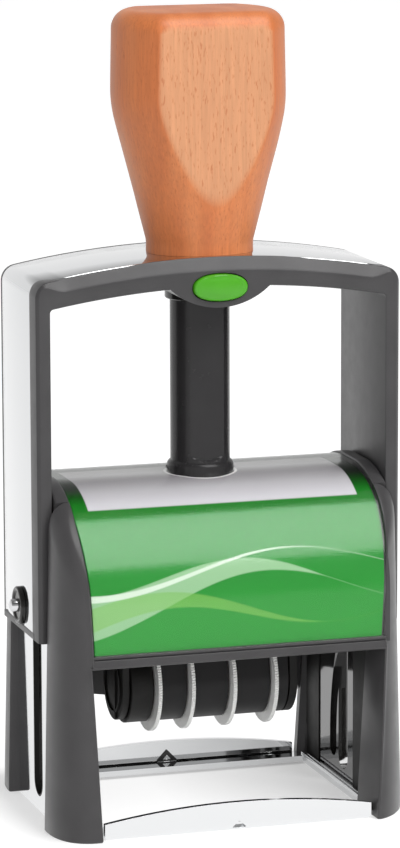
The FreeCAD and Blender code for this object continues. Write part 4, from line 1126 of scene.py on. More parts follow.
def rim(bm, side, start, end):
    corners = [(35.22, 23.1, 0.1), (38.42, 23.1, 0.1), (38.42, RIM, 0.7), (35.22, RIM, 0.45)]
    sweep_hood(bm, [(side * x, r) for x, r in rounded(corners, 5)], start, end, 36)


bm = bmesh.new()
for side in (-1, 1):
    build_leg(bm, side, -1)
    rim(bm, side, CHANNEL_TURN, SEAM_TURN - SEAM_GAP)
lip = rounded(
    [
        (-28.0, 41.75, 0.2), (-28.0, 39.1, 0.3), (-28.8, 38.8, 0.4), (-30.1, 38.8, 0.5),
        (-30.5, 39.3, 0.4), (-30.1, 40.85, 0.3), (-29.7, 40.9, 0.05), (-29.7, 41.15, 0.05),
        (-30.3, 41.25, 0.12), (-30.3, 41.75, 0.2),
    ],
    5,
)
slab(bm, "x", -34.0, 34.0, lip)
add_piece("front_shell", bm, graphite, "frame", ["front_housing"], smooth=30)
bm = bmesh.new()
wall_section = box_outline(-35.3, 35.3, WALL_INNER, WALL_OUTER, 0.1)
sweep_hood(bm, wall_section, 0.0, SEAM_TURN - SEAM_GAP, 36, foot=40.4)
hood_wall = add_piece("hood_wall", bm, graphite, "frame", ["front_housing"], smooth=30)

# %% [markdown]
# The rear shell closes the back. Its wall drops from the hood to an arch between the legs and
# has a wide slot, which the pad tray's grip fills. The wall is built as a row of upright
# sections, so that its lower edge can follow the arch.

# %% Rear shell

ARCH = 17.5
REAR_HALF = 35.2
MOUTH_SIDE = 33.25


def arch_edge(x):
    """Height of the rear arch at x: it rises to the sides, then dips behind the legs."""
    return ARCH + 4.0 * (x / 30.0) ** 2 if abs(x) < 30.0 else ARCH + 4.0 - 1.9 * (abs(x) - 30.0)


bm = bmesh.new()
for side in (-1, 1):
    build_leg(bm, side, 1)
    rim(bm, side, SEAM_TURN + SEAM_GAP, 180 - CHANNEL_TURN)
mouth_low, mouth_high = turn_at_height(58.05), turn_at_height(63.85)
full_width = box_outline(-REAR_HALF, REAR_HALF, WALL_INNER, WINDOW, 0.25)
sweep_hood(bm, full_width, SEAM_TURN + SEAM_GAP, mouth_high, 24)
for side in (-1, 1):
    beside_mouth = box_outline(*span(side, MOUTH_SIDE, REAR_HALF), WALL_INNER, WINDOW, 0.15)
    sweep_hood(bm, beside_mouth, mouth_high, mouth_low, 8)
sweep_hood(bm, full_width, mouth_low, 180, 14)
outer, inner = HOOD_Y + WINDOW, HOOD_Y + WALL_INNER
rings = []
for i in range(45):
    x = mix(-34.0, 34.0, i / 44)
    low = arch_edge(x)
    section = [(inner, HOOD_Z), (inner, low + 0.3), (inner + 0.25, low)]
    section += [(outer - 0.35, low), (outer, low + 0.35), (outer, HOOD_Z)]
    rings.append([Vector((x, y, z)) for y, z in section])
skin(bm, rings)
add_piece("rear_shell", bm, graphite, "frame", ["rear_housing"], smooth=30)

# %% [markdown]
# Inside the rear legs a thin dark panel closes the gap towards the guide walls.

# %% Inner panels of the rear legs

bm = bmesh.new()
for side in (-1, 1):
    slab(bm, "x", *span(side, 33.95, 34.3), box_outline(16.85, 26.9, 1.35, 50.0, 0.3))
add_piece("rear_inner_panels", bm, matt_black, "frame", ["rear_housing"], smooth=30)

# %% [markdown]
# ## Index card and window
#
# A printed card lies round the front of the hood under a clear curved window. The card has a
# plain strip on top for a stamped sample, a dark green edge round it, and a nearly even green
# field. The print is made from the height and the width in object space.
# Its two light ribbons are a plain decoration of this model's own.

# %% Green field of the card

card = new_finish("printed_card", "printed_card", screen(80, 175, 90), 0.6, Specular_IOR_Level=0.1)
spot = places(card)
card_axes = axes_of(card, spot)
height, width = card_axes["Z"], card_axes["X"]
level = spread(card, height, 41.5, 71.0)
field_tones = ((0.0, screen(34, 141, 46)), (0.34, screen(34, 140, 46)), (0.5, screen(32, 132, 44)))
field = ramp(card, level, *field_tones, (1.0, screen(34, 132, 48)))


def above(value, edge, soft=0.12):
    """1 where value is over edge, with a printed edge's slight softness."""
    return spread(card, value, edge - soft, edge + soft)


# %% Ribbons across the field


def ribbon(base, rise, stretch, phase, wide):
    """A band that swings gently up and down across the field."""
    swing = math_node(card, "MULTIPLY_ADD", width, stretch, phase)
    centre = math_node(card, "MULTIPLY_ADD", math_node(card, "SINE", swing), rise, base)
    away = math_node(card, "ABSOLUTE", math_node(card, "SUBTRACT", height, centre))
    swell = math_node(card, "MULTIPLY", spread(card, width, -34.0, 20.0, 1.5, 0.0), wide)
    return above(math_node(card, "SUBTRACT", swell, away), 0.0, 0.15)


pale_ribbon = ribbon(54.5, 5.0, 0.075, 1.3, 3.2)
lime_ribbon = ribbon(49.5, 3.6, 0.085, 2.9, 1.8)
thin_ribbon = ribbon(58.5, 4.2, 0.07, 0.7, 0.5)
for band, strength, tone in (
    (pale_ribbon, 0.6, screen(176, 208, 172)),
    (lime_ribbon, 0.6, screen(118, 178, 82)),
    (thin_ribbon, 0.8, screen(214, 226, 212)),
):
    field = blend_colours(card, math_node(card, "MULTIPLY", band, strength), field, tone)

# %% [markdown]
# Over the field lies a dark green edge, in it the pale strip, and round the column's hole a
# white rim. Both edge and strip are painted darker towards the back, as painted shade of the yoke.

# %% Edge, strip and hole of the card

STRIP_LOW = 71.8
side_place = math_node(card, "ABSOLUTE", width)
edge_level = spread(card, height, 69.0, 75.3)
# The edge and the paper strip darken towards the back: painted shade of the yoke.
edge_tones_with_painted_shade = ((0.0, screen(14, 122, 24)), (0.6, screen(10, 108, 18)), (0.82, screen(6, 70, 8)))
edge_green = ramp(card, edge_level, *edge_tones_with_painted_shade, (1.0, screen(6, 20, 6)))
paper_level = spread(card, height, STRIP_LOW, 76.85)
paper_tones_with_painted_shade = ((0.14, screen(198, 196, 201)), (0.53, screen(180, 178, 182)), (0.83, screen(146, 143, 146)))
paper = ramp(card, paper_level, *paper_tones_with_painted_shade, (1.0, screen(126, 122, 124)))
beside = math_node(card, "SUBTRACT", 1.0, above(side_place, 31.2))
strip = math_node(card, "MULTIPLY", above(height, STRIP_LOW), beside)
print_colour = blend_colours(card, above(height, 70.3), field, edge_green)
print_colour = blend_colours(card, strip, print_colour, paper)
flat_place = node(card, "ShaderNodeVectorMath", operation="MULTIPLY", in_0=spot, in_1=(1.0, 1.0, 0.0))
from_hole = node(card, "ShaderNodeVectorMath", operation="LENGTH", in_0=flat_place.outputs[0])
rim_of_hole = above(from_hole.outputs["Value"], 8.3)
print_colour = blend_colours(card, rim_of_hole, screen(236, 234, 234), print_colour)
feed(card, "Base Color", print_colour)
skin_bump(card, spot, 3.0, 0.003, 0.3)
print("card:", len(card.node_tree.nodes), "nodes")

# %% [markdown]
# The window is hard, clear plastic. A glass shader would bend the light twice in so thin a
# sheet and be noisy. Here the sheet is a mirror that is see-through except for the small share
# that a Fresnel node gives. Its back faces give none, so nothing is mirrored twice.

# %% Clear plastic of the window

clear = new_finish("clear_plastic", "clear_plastic", screen(250, 252, 250), 0.2, 1.0)
mirror = node(clear, "ShaderNodeFresnel", in_IOR=1.5)
facing = node(clear, "ShaderNodeNewGeometry").outputs["Backfacing"]
outside = math_node(clear, "SUBTRACT", 1.0, facing)
feed(clear, "Alpha", math_node(clear, "MULTIPLY", mirror.outputs[0], outside))
skin_bump(clear, places(clear), 0.03, 0.01, 0.3, 1.0)
print("window: see-through by", clear.name)

# %% [markdown]
# Card and window are thin sheets on the same arc, and their sides flare with the legs. A plane
# with a solidify modifier would do, but its ends would stand at a slant. Rings that hold both
# faces give square edges. A boolean then cuts the column's hole through both and the wall.

# %% Card and window

CARD_INNER, CARD_OUTER = 24.82, 25.07
WINDOW_INNER = 25.11


def hood_sheet(bm, inner, outer, gap, foot, rear_turn):
    """A curved sheet whose sides follow the edge of the card."""
    steps, across = 44, 30
    path = [(-(HOOD_Y + 1.0), z, 0.0) for z in (foot, mix(foot, HOOD_Z, 0.5))]
    path += hood_path(1.0, 0.0, rear_turn, steps)
    rings = []
    for y, z, turn in path:
        ahead, up = -cos(radians(turn)), sin(radians(turn))
        base = z - up if turn > 0 else z
        half = along(LABEL_EDGE, base + up * outer) - gap
        xs = [mix(-half, half, i / across) for i in range(across + 1)]
        ring = [Vector((x, y - ahead + ahead * inner, base + up * inner)) for x in xs]
        ring += [Vector((x, y - ahead + ahead * outer, base + up * outer)) for x in xs[::-1]]
        rings.append(ring)
    skin(bm, rings)


bm = bmesh.new()
hood_sheet(bm, CARD_INNER, CARD_OUTER, 0.3, 41.78, SEAM_TURN - 0.5)
label_card = add_piece("index_card", bm, card, "frame", ["label_card"], smooth=30)
bm = bmesh.new()
hood_sheet(bm, WINDOW_INNER, WINDOW, 0.2, 41.74, SEAM_TURN - 0.4)
index_window = add_piece("clear_window", bm, clear, "frame", ["index_window"], smooth=30)
for sheet_piece in (label_card, index_window, hood_wall):
    bm = bmesh.new()
    slab(bm, "z", 66, 90, circle((0, 0), 7.72, 64))
    cut_away(sheet_piece, bm)

# %% [markdown]
# ## Frame
#
# Under the housing a pressed steel frame holds everything: two chromed side plates with a
# straight slot for the axle, and a base whose flanges arch up in front and behind. A notch in
# the middle of each flange shows where the imprint will land. Inside each plate stands a black
# wall with the curved groove that turns the plate over.

# %% Side plates

PLATE_INNER, PLATE_OUTER = 37.2, 38.4
SCREW_Y, SCREW_ROWS = 18.7, (12.0, 56.0)


def slot_outline(half, foot, top):
    """An upright slot with round ends, from its half width and its lowest and highest place."""
    return arc((0, top - half), half, 0, 180, 16) + arc((0, foot + half), half, 180, 360, 16)


def plate_outline(deep, radius):
    """A plate whose top follows the hood."""
    reach = turn_at_depth(deep, radius)
    outline = [(-deep, 0.0), (deep, 0.0)]
    outline += arc((HOOD_Y, HOOD_Z), radius, reach, 90, 16)
    return outline + arc((-HOOD_Y, HOOD_Z), radius, 90, 180 - reach, 16)


for side, word in SIDES:
    bm = bmesh.new()
    holes = [circle((end * SCREW_Y, z), 0.95, 20) for end in (-1, 1) for z in SCREW_ROWS]
    holes.insert(0, slot_outline(3.6, 3.35, 50.9))
    slab(bm, "x", *span(side, PLATE_INNER, PLATE_OUTER), plate_outline(20.0, 22.99), *holes)
    add_piece("side_plate_pressed_" + word, bm, chrome, "frame", ["side_plate_" + word], bevel=0.16)

# %% [markdown]
# A peg on each side of the plate runs in a groove and turns the plate over on its way down.
# The groove's line is worked out from that motion: the axle sinks by the stroke while the plate
# makes half a turn. Its two sides are this line moved by the peg's radius and a little air, so
# the groove fits the motion by itself. A drawn curve would have to be tried against it.

# %% Line of the cam groove

STROKE = 36.0
PEG_ARM = 7.0


def cam_track(aside):
    """One side of the groove: the path of the cam peg, moved sideways."""
    points = []
    for i in range(49):
        turn = pi * i / 48
        dy, dz = PEG_ARM * sin(turn), PEG_ARM * cos(turn) - STROKE / pi
        length = hypot(dy, dz)
        y, z = -PEG_ARM * cos(turn), AXLE - STROKE * turn / pi + PEG_ARM * sin(turn)
        points.append((y + aside * dz / length, z - aside * dy / length))
    return points


def groove_outline(half):
    one, other = cam_track(half), cam_track(-half)
    top = arc((-PEG_ARM, AXLE + 0.3), half, 0, 180, 12)
    bottom = arc((PEG_ARM, AXLE - 39.0), half, 180, 360, 12)
    return top + one[1:-1] + bottom + other[-2:0:-1]


# %% [markdown]
# The guide walls are black mouldings inside the side plates, with the groove cut a few
# millimetres deep. Each reaches through its plate's slot as a narrow black liner. A thin matt
# black sheet over the front half of its face is a painted dark reflection, where the glossy
# wall mirrors dark surroundings.

# %% Guide walls, slot liners and sheets of painted dark reflection

GUIDE_INNER = 34.2
for side, word in SIDES:
    bm = bmesh.new()
    slot = slot_outline(3.25, 3.7, 50.55)
    slab(bm, "x", *span(side, GUIDE_INNER, PLATE_INNER), box_outline(-16.8, 16.8, 1.3, 69.0, 0.4), slot)
    wall = add_piece("guide_wall_" + word, bm, gloss_black, "frame", ["cam_guide_" + word], bevel=0.18)
    bm = bmesh.new()
    slab(bm, "x", *span(side, PLATE_INNER - 0.05, PLATE_OUTER + 0.02), slot_outline(3.57, 3.38, 50.87), slot)
    add_piece("slot_liner_" + word, bm, matt_black, "frame", ["cam_guide_" + word], bevel=0.06)
    # A matt black sheet over the front of the wall's face: a painted dark reflection, where the glossy wall
    # mirrors dark surroundings.
    bm = bmesh.new()
    slab(bm, "x", *span(side, 34.0, 34.25), box_outline(-16.6, -7.4, 1.5, 60.0, 0.3))
    add_piece("guide_dark_sheet_" + word, bm, matt_black, "frame", ["cam_guide_" + word], smooth=30)
    bm = bmesh.new()
    slab(bm, "x", *span(side, 34.0, 36.2), groove_outline(2.3))
    cut_away(wall, bm)

# %% [markdown]
# The base is one pressing. Its flange is bent up from the ledge, so a small radius joins the
# two, and the flange's upper edge is an arch that is highest in the middle.

# %% Base

BASE_FACE = 29.0
BASE_GAUGE = 1.3
BASE_BACK = BASE_FACE - BASE_GAUGE
FLANGE_HALF = 31.0
BEND = 0.5


def flange_top(x):
    return 3.5 + 2.7 * (1 - (x / FLANGE_HALF) ** 2)


bm = bmesh.new()
corner = [(32.6, 27.7, 1.2), (35.0, 25.3, 0.8), (35.0, 16.8, 0.2), (37.2, 16.8, 0.2)]
ledge = [(x, -y, r) for x, y, r in corner] + corner[::-1]
ledge += [(-x, y, r) for x, y, r in corner] + [(-x, -y, r) for x, y, r in corner[::-1]]
slab(bm, "z", 0.0, BASE_GAUGE, rounded(ledge), box_outline(-32.0, 32.0, -22.8, 22.8, 0.8))
notch = rounded([(-1.7, 0.4, 0.15), (1.7, 0.4, 0.15), (0.0, 2.0, 0.2)], 3)
crest = [(x, flange_top(x)) for x in [mix(FLANGE_HALF, -FLANGE_HALF, i / 40) for i in range(41)]]
face = [(-30.6, 0.0), (30.6, 0.0), (FLANGE_HALF, 0.4)] + crest + [(-FLANGE_HALF, 0.4)]
for end in (-1, 1):
    slab(bm, "y", *span(end, BASE_BACK, BASE_FACE), face, notch)
    bend = [(end * (BASE_BACK + 0.02), BASE_GAUGE - 0.02)]
    for turn in [pi / 2 * i / 6 for i in range(6, -1, -1)]:
        bend.append((end * (BASE_BACK - BEND * (1 - sin(turn))), BASE_GAUGE + BEND * (1 - cos(turn))))
    slab(bm, "x", -30.9, -2.3, bend)
    slab(bm, "x", 2.3, 30.9, bend)
add_piece("base_pressing", bm, chrome, "frame", ["base_frame"], bevel=0.2, segments=3)

# %% [markdown]
# Two beads run along each side of the ledge, and a dark mark stands in the middle of the rear
# flange, where the eye finds it through the opening.

# %% Beads and mark of the base

bm = bmesh.new()
for side in (-1, 1):
    for inner, outer in ((32.35, 32.75), (33.15, 33.75)):
        bead = [(inner, 1.28, 0.0), (outer, 1.28, 0.0), (outer, 1.75, 0.15), (inner, 1.75, 0.15)]
        slab(bm, "y", -25.0, 25.0, rounded([(side * x, z, r) for x, z, r in bead], 3))
add_piece("base_side_beads", bm, chrome, "frame", ["base_frame"], smooth=30)
bm = bmesh.new()
mark = rounded([(-2.7, 1.4, 0.1), (2.7, 1.4, 0.1), (0.0, 4.2, 0.15)], 3)
# Steamed beech is pink-brown and nearly even, with short darker flecks a millimetre or two long that stand
# upright on this handle, where the rays are cut across. Broad bands of tone follow the growth rings. The
# flecks are noise squeezed in two directions, of which only the crests show. The planed flats are given a
# paler, greyer tone than the turned sides. An oil finish leaves the wood satin.
mark_hole = rounded([(-1.1, 1.75, 0.1), (1.1, 1.75, 0.1), (0.0, 2.9, 0.1)], 3)
slab(bm, "y", BASE_BACK - 0.3, BASE_BACK + 0.1, mark, mark_hole)
add_piece("rear_centre_mark", bm, black, "frame", ["base_frame"], bevel=0.05)

# %% [markdown]
# A steel bridge ties the side plates at the top and carries the column, on two screws from
# below. Four more screws hold the housing to each side plate. Under the bridge, two channels
# are the rails on which the pad tray slides. All of it is cut or turned stock.

# %% Bridge and screws

COLUMN_SCREW = 10.6
bm = bmesh.new()
bridge_holes = [circle((side * COLUMN_SCREW, 0), 1.45, 24) for side in (-1, 1)]
slab(bm, "z", 69.0, 70.48, box_outline(-37.18, 37.18, -13.0, 13.0, 0.5), *bridge_holes)
add_piece("bridge_pressing", bm, steel, "frame", ["bridge_plate"], bevel=0.15)
bm = bmesh.new()
for side in (-1, 1):
    screw(bm, "z", (side * COLUMN_SCREW, 0), 2.4, 67.7, 69.0, 1.28, 72.3)
add_piece("column_screw_pair", bm, steel, "frame", ["column_screws"], smooth=30)
bm = bmesh.new()
for side in (-1, 1):
    for end in (-1, 1):
        for z in SCREW_ROWS:
            tip = side * (half_width(z) - 1.0)
            screw(bm, "x", (end * SCREW_Y, z), 1.8, side * 36.1, side * PLATE_INNER, 0.88, tip, side)
add_piece("housing_screw_set", bm, steel, "frame", ["housing_screws"], smooth=30)

# %% Rails of the pad tray

RAIL_LOW, RAIL_HIGH = 60.35, 63.65
for side, word in SIDES:
    channel = [(31.7, RAIL_LOW), (34.2, RAIL_LOW), (34.2, RAIL_HIGH), (31.7, RAIL_HIGH), (31.7, 62.75)]
    channel += [(33.15, 62.75), (33.15, 61.25), (31.7, 61.25)]
    bm = bmesh.new()
    slab(bm, "y", -16.8, 16.8, [(side * x, z) for x, z in channel])
    add_piece("tray_rail_bar_" + word, bm, black, "frame", ["tray_rail_" + word], bevel=0.1)

# %% [markdown]
# ## Pad tray
#
# The ink pad lies face down in a tray that pulls out at the back. The tray's rear end is a
# ribbed grip that closes the slot in the rear shell. The pad is a felt-like sponge, so its
# face gets a fine, deep relief.

# %% Ink pad

felt = new_finish("ink_felt", "ink_felt", screen(34, 34, 44), 0.85)
felt_place = clouded(felt, (screen(26, 26, 34), screen(44, 44, 58)), 0.9)
skin_bump(felt, felt_place, 2.6, 0.12, 0.8, 4.0)
bm = bmesh.new()
pad = box_outline(-29.1, 29.1, -17.5, 17.5, 1.0)
levels = ((0.94, 58.4), (0.985, 58.46), (1.0, 58.8), (1.0, 61.4))
rings = [[Vector((x * (1 - (1 - s) * 0.6), y * s, z)) for x, y in pad] for s, z in levels]
skin(bm, rings)
add_piece("ink_pad_felt", bm, felt, "pad", ["ink_pad"], smooth=50)

# %% Pad tray

TRAY_HALF, TRAY_DEEP = 33.0, 18.8
TRAY_RIM, TRAY_FLOOR, TRAY_TOP = 59.4, 61.42, 62.6
bm = bmesh.new()
slab(bm, "z", TRAY_FLOOR, TRAY_TOP, box_outline(-TRAY_HALF, TRAY_HALF, -TRAY_DEEP, TRAY_DEEP, 0.6))
for side in (-1, 1):
    long_wall = box_outline(*span(side, 29.2, 30.4), -TRAY_DEEP, TRAY_DEEP, 0.2)
    slab(bm, "z", TRAY_RIM, TRAY_FLOOR, long_wall)
    cross_wall = box_outline(-29.2, 29.2, *span(side, 17.6, TRAY_DEEP), 0.2)
    slab(bm, "z", TRAY_RIM, TRAY_FLOOR, cross_wall)
slab(bm, "z", TRAY_FLOOR, TRAY_TOP, box_outline(-26.4, 26.4, 18.3, 25.4, 0.2))
grip_low, grip_high = turn_at_height(58.3), turn_at_height(63.6)
sweep_hood(bm, box_outline(-TRAY_HALF, TRAY_HALF, 24.2, 25.7, 0.3), grip_high, grip_low, 10)
for k in range(5):
    turn = mix(grip_high, grip_low, (k + 0.5) / 5)
    sweep_hood(bm, box_outline(-30.5, 30.5, 25.4, WINDOW, 0.25), turn - 0.75, turn + 0.75, 4)
add_piece("pad_tray_slide", bm, black, "pad", ["pad_tray"], bevel=0.1)

# %% [markdown]
# ## Flip-over plate
#
# The plate that prints hangs between two ears on the axle pins and carries the rubber text
# plate, the cam pins and the date unit. At rest its face looks up into the pad. The rubber
# has a plain raised border and bars, with no text.

# %% Plate and ears

PLATE_LOW, PLATE_HIGH = 52.3, 54.6
DATE_X, DATE_HALF = 1.0, 20
EAR_INNER, EAR_OUTER = 29.4, 31.4
bm = bmesh.new()
opening = box_outline(DATE_X - DATE_HALF, DATE_X + DATE_HALF, -6.0, 6.0, 0.5)
slab(bm, "z", PLATE_LOW, PLATE_HIGH, box_outline(-EAR_OUTER, EAR_OUTER, -17.0, 17.0, 1.0), opening)
ear = [(-13, 52.6, 0.3), (-10.6, AXLE, 2.5), (-8, AXLE - 4, 2.0), (-4, AXLE - 6, 2.5)]
ear += [(4, AXLE - 6, 2.5), (8, AXLE, 3.0), (12, 52.6, 0.3)]
ear_holes = circle((0, AXLE), 2.95, 36), circle((-PEG_ARM, AXLE), 2.02, 28)
for side in (-1, 1):
    slab(bm, "x", *span(side, EAR_INNER, EAR_OUTER), rounded(ear, 6), *ear_holes)
add_piece("flip_plate", bm, black, "carrier", ["carrier_frame"], bevel=0.15)

# %% Rubber plate

RUBBER_BACK, RUBBER_FACE = 56.3, 56.9
rubber = moulded("plate_rubber", "plate_rubber", screen(112, 50, 42), screen(126, 58, 48), 0.62, 0.01)
bm = bmesh.new()
opening = box_outline(DATE_X - DATE_HALF, DATE_X + DATE_HALF, -5.6, 5.6, 0.3)
slab(bm, "z", PLATE_HIGH, RUBBER_BACK, box_outline(-29.0, 29.0, -17.0, 17.0, 0.6), opening)
border = box_outline(-28.4, 28.4, -16.4, 16.4, 0.8), box_outline(-27.6, 27.6, -15.6, 15.6, 0.6)
slab(bm, "z", RUBBER_BACK, RUBBER_FACE, *border)
for half, row in ((19, 8.6), (23, 12.0)):
    for y in (-row, row):
        slab(bm, "z", RUBBER_BACK, RUBBER_FACE, box_outline(-half, half, y - 0.8, y + 0.8, 0.5))
add_piece("rubber_plate", bm, rubber, "carrier", ["text_plate"], bevel=0.08)

# %% Cam pegs

for side, word in SIDES:
    bm = bmesh.new()
    peg = [(0.02, 29.45), (1.9, 29.45), (2.0, 29.6), (2.0, 35.6), (1.75, 35.9), (0.02, 35.9)]
    turned(bm, [(r, side * x) for r, x in peg], "x", (-PEG_ARM, AXLE), 32)
    add_piece("cam_peg_" + word, bm, pin_steel, "carrier", ["cam_pin_" + word], smooth=30)

# %% [markdown]
# ## Date unit
#
# Four rubber bands run from toothed white wheels over a bridge that presses them on the
# paper. The wheels are what a finger turns. They share one axle between two cheeks, and a
# plain drum fills the left end. A tooth is a plain ridge, so one outline with raised and
# lowered points makes the whole wheel.

# %% Wheels

DRUM_Z = 28.0
WHEEL_X = [-12.8, -5.0, 4.8, 14.6]
WHEEL_HALF = 0.45
TEETH = 120
CHEEK_LEFT, CHEEK_RIGHT = -20.8, 20.2


def wheel_outline(radius, depth, teeth):
    outline = []
    for i in range(teeth):
        for share, reach in ((0.0, radius - depth), (0.3, radius - depth), (0.5, radius), (0.8, radius)):
            turn = 2 * pi * (i + share) / teeth
            outline.append((reach * cos(turn), DRUM_Z + reach * sin(turn)))
    return outline


def hub_end(number):
    """Where a wheel's hub ends: before the next wheel, or before the right cheek."""
    return WHEEL_X[number + 1] - 0.9 if number < 3 else CHEEK_RIGHT - 2.1


for number, x in enumerate(WHEEL_X):
    bm = bmesh.new()
    axle_hole = circle((0, DRUM_Z), 2.06, 32)
    slab(bm, "x", x - WHEEL_HALF, x + WHEEL_HALF, wheel_outline(11.3, 0.28, TEETH), axle_hole)
    slab(bm, "x", x + WHEEL_HALF, hub_end(number), circle((0, DRUM_Z), 7.35, 48), axle_hole)
    name, body = "date_wheel_%d" % (number + 1), "wheel_%d" % (number + 1)
    add_piece(name + "_toothed", bm, white, body, [name], bevel=0.07, segments=1, weld=False)

# %% [markdown]
# A band is a flat loop with two straight runs that touch the hub below and the bridge above.
# The lean of these runs follows from the two radii, so the loop has no kinks. The bands are
# still: turning their line with the wheel would need a moving mesh and would hardly show.

# %% Bands

BRIDGE_Z = 52.0
band_rubber = moulded("band_rubber", "band_rubber", screen(15, 14, 15), screen(19, 18, 19), 0.45, 0.006, 0.3)


def belt(radius, crown_radius):
    """A band's line round the hub and over the bridge."""
    lean = degrees(asin((radius - crown_radius) / (BRIDGE_Z - DRUM_Z)))
    over = arc((0, BRIDGE_Z), crown_radius, lean, 180 - lean, 28)
    return over + arc((0, DRUM_Z), radius, 180 - lean, 360 + lean, 56)


for number, x in enumerate(WHEEL_X):
    bm = bmesh.new()
    slab(bm, "x", x + 0.75, hub_end(number), belt(9.0, 4.9), belt(7.65, 3.4))
    name = "date_band_%d" % (number + 1)
    add_piece(name + "_rubber", bm, band_rubber, "carrier", [name], bevel=0.12)

# %% [markdown]
# The drum, the cheeks, the bridge under the bands and the axle are plain stock parts. The left
# cheek shows from outside, so it has a ring and a rib, as a moulded cheek would.

# %% Drum, cheeks, bridge of the bands and axle

bm = bmesh.new()
turned(bm, chamfered(2.02, 9.0, -19.0, -13.7, 0.2), "x", (0, DRUM_Z), 72)
add_piece("plain_drum_turned", bm, matt_black, "carrier", ["plain_drum"], smooth=30)

bm = bmesh.new()
for low, high, radius in ((CHEEK_LEFT, CHEEK_LEFT + 1.6, 8.2), (CHEEK_RIGHT - 1.8, CHEEK_RIGHT, 9.0)):
    cheek = [(-7.0, 52.28)] + arc((0, DRUM_Z), radius, 180, 360, 36) + [(7.0, 52.28)]
    slab(bm, "x", low, high, cheek)
cheek_ring = circle((0, DRUM_Z), 6.6, 40), circle((0, DRUM_Z), 6.0, 40)
slab(bm, "x", CHEEK_LEFT - 0.35, CHEEK_LEFT, *cheek_ring)
slab(bm, "x", CHEEK_LEFT - 0.35, CHEEK_LEFT, box_outline(-2.7, -1.9, 20.5, 33.0, 0.1))
slab(bm, "x", CHEEK_LEFT + 0.9, CHEEK_RIGHT - 0.9, box_outline(-2.0, 2.0, 42.0, 46.0, 0.4))
add_piece("date_cheeks", bm, matt_black, "carrier", ["date_unit_frame"], bevel=0.3, segments=3)

bm = bmesh.new()
anvil = [(-3.2, 46.0), (3.2, 46.0)] + arc((0, BRIDGE_Z), 3.2, 0, 180, 24)
slab(bm, "x", CHEEK_LEFT + 1.8, CHEEK_RIGHT - 1.8, anvil)
add_piece("date_anvil", bm, black, "carrier", ["date_bridge"], bevel=0.1)

bm = bmesh.new()
axle = [(0.02, -20.4), (1.6, -20.4), (2.0, -20.0), (2.0, 19.4), (1.6, 19.8), (0.02, 19.8)]
turned(bm, axle, "x", (0, DRUM_Z), 36)
add_piece("wheel_axle_rod", bm, pin_steel, "carrier", ["wheel_axle"], smooth=30)

# %% [markdown]
# ## Floor, light and camera
#
# The stamp stands on white. The floor is a wide pale sheet that shows partly as lit paper and
# partly as plain white. The share of white is high far away, so that the background stays
# clean, and low close to the base, so that the stamp keeps its shadow. Mirrors get a share of
# their own, which is lower in front of the stamp, so that chrome shows some grey.

# %% Floor

bm = bmesh.new()
corners = ((-6000, -3000, 0), (6000, -3000, 0), (6000, 6000, 0), (-6000, 6000, 0))
bm.faces.new([bm.verts.new(Vector(c)) for c in corners])
bm.transform(Matrix.Scale(MM, 4))
floor_mesh = bpy.data.meshes.new("floor")
bm.to_mesh(floor_mesh)
bm.free()
floor = bpy.data.objects.new("floor", floor_mesh)
bpy.context.scene.collection.objects.link(floor)
pale = bpy.data.materials.new("pale_floor")
pale.use_nodes = True
floor_mesh.materials.append(pale)


def mirror_rays(finish, rays):
    """1 for rays that a metal mirrors or a clear piece lets through."""
    return math_node(finish, "MAXIMUM", rays["Is Glossy Ray"], rays["Is Transmission Ray"])


# %% Share of white on the floor, in metres from the middle

rays = node(pale, "ShaderNodeLightPath").outputs
table = axes_of(pale, node(pale, "ShaderNodeTexCoord").outputs["Object"])
depth = spread(pale, table["Y"], -0.8, 0.8)
in_mirrors = ramp(pale, depth, (0.08, 0.17), (0.28, 0.78), (0.46, 0.78), (0.56, 0.59))
mirror_share = math_node(pale, "MULTIPLY", mirror_rays(pale, rays), in_mirrors)
gaps = []
for name, half in (("X", 0.042), ("Y", 0.0305)):
    gaps.append(math_node(pale, "SUBTRACT", math_node(pale, "ABSOLUTE", table[name]), half))
beyond = spread(pale, math_node(pale, "MAXIMUM", *gaps), -0.0105, 0.0115)
seen = ramp(pale, beyond, (0.0, 0.66), (0.05, 0.34), (0.5, 0.36), (0.9, 0.66))
seen_share = math_node(pale, "MULTIPLY", rays["Is Camera Ray"], seen)
# Under the stamp the white share falls towards the right, down to half. The floor there shows its real
# shadow, and the lost glow adds painted shade that darkens it towards the right.
under_stamp = spread(pale, table["X"], -0.008, 0.03, 0.0, 0.5)
for name, half in (("X", 0.0318), ("Y", 0.0226)):
    near = spread(pale, math_node(pale, "ABSOLUTE", table[name]), half + 0.0006, half)
    under_stamp = math_node(pale, "MULTIPLY", under_stamp, near)
share = math_node(pale, "ADD", mirror_share, seen_share)
share = math_node(pale, "MULTIPLY", share, math_node(pale, "SUBTRACT", 1.0, under_stamp))
sheet = pale.node_tree.nodes["Principled BSDF"]
sheet.inputs["Base Color"].default_value = (0.9, 0.9, 0.9, 1)
sheet.inputs["Roughness"].default_value = 0.6
white_sheet = node(pale, "ShaderNodeEmission", in_Strength=1.33)
both = node(pale, "ShaderNodeMixShader", in_0=share, in_1=sheet.outputs[0], in_2=white_sheet.outputs[0])
plug(pale, pale.node_tree.nodes["Material Output"].inputs["Surface"], both.outputs[0])
print("floor:", len(pale.node_tree.nodes), "nodes")

# %% [markdown]
# The world is white where the camera looks. Mirrors see a studio in it: bright behind, dimmer
# in front, to the right and overhead, which draws the soft steps in the chrome. Everything else
# gets a weak even light, since the lamps do the lighting.

# %% World

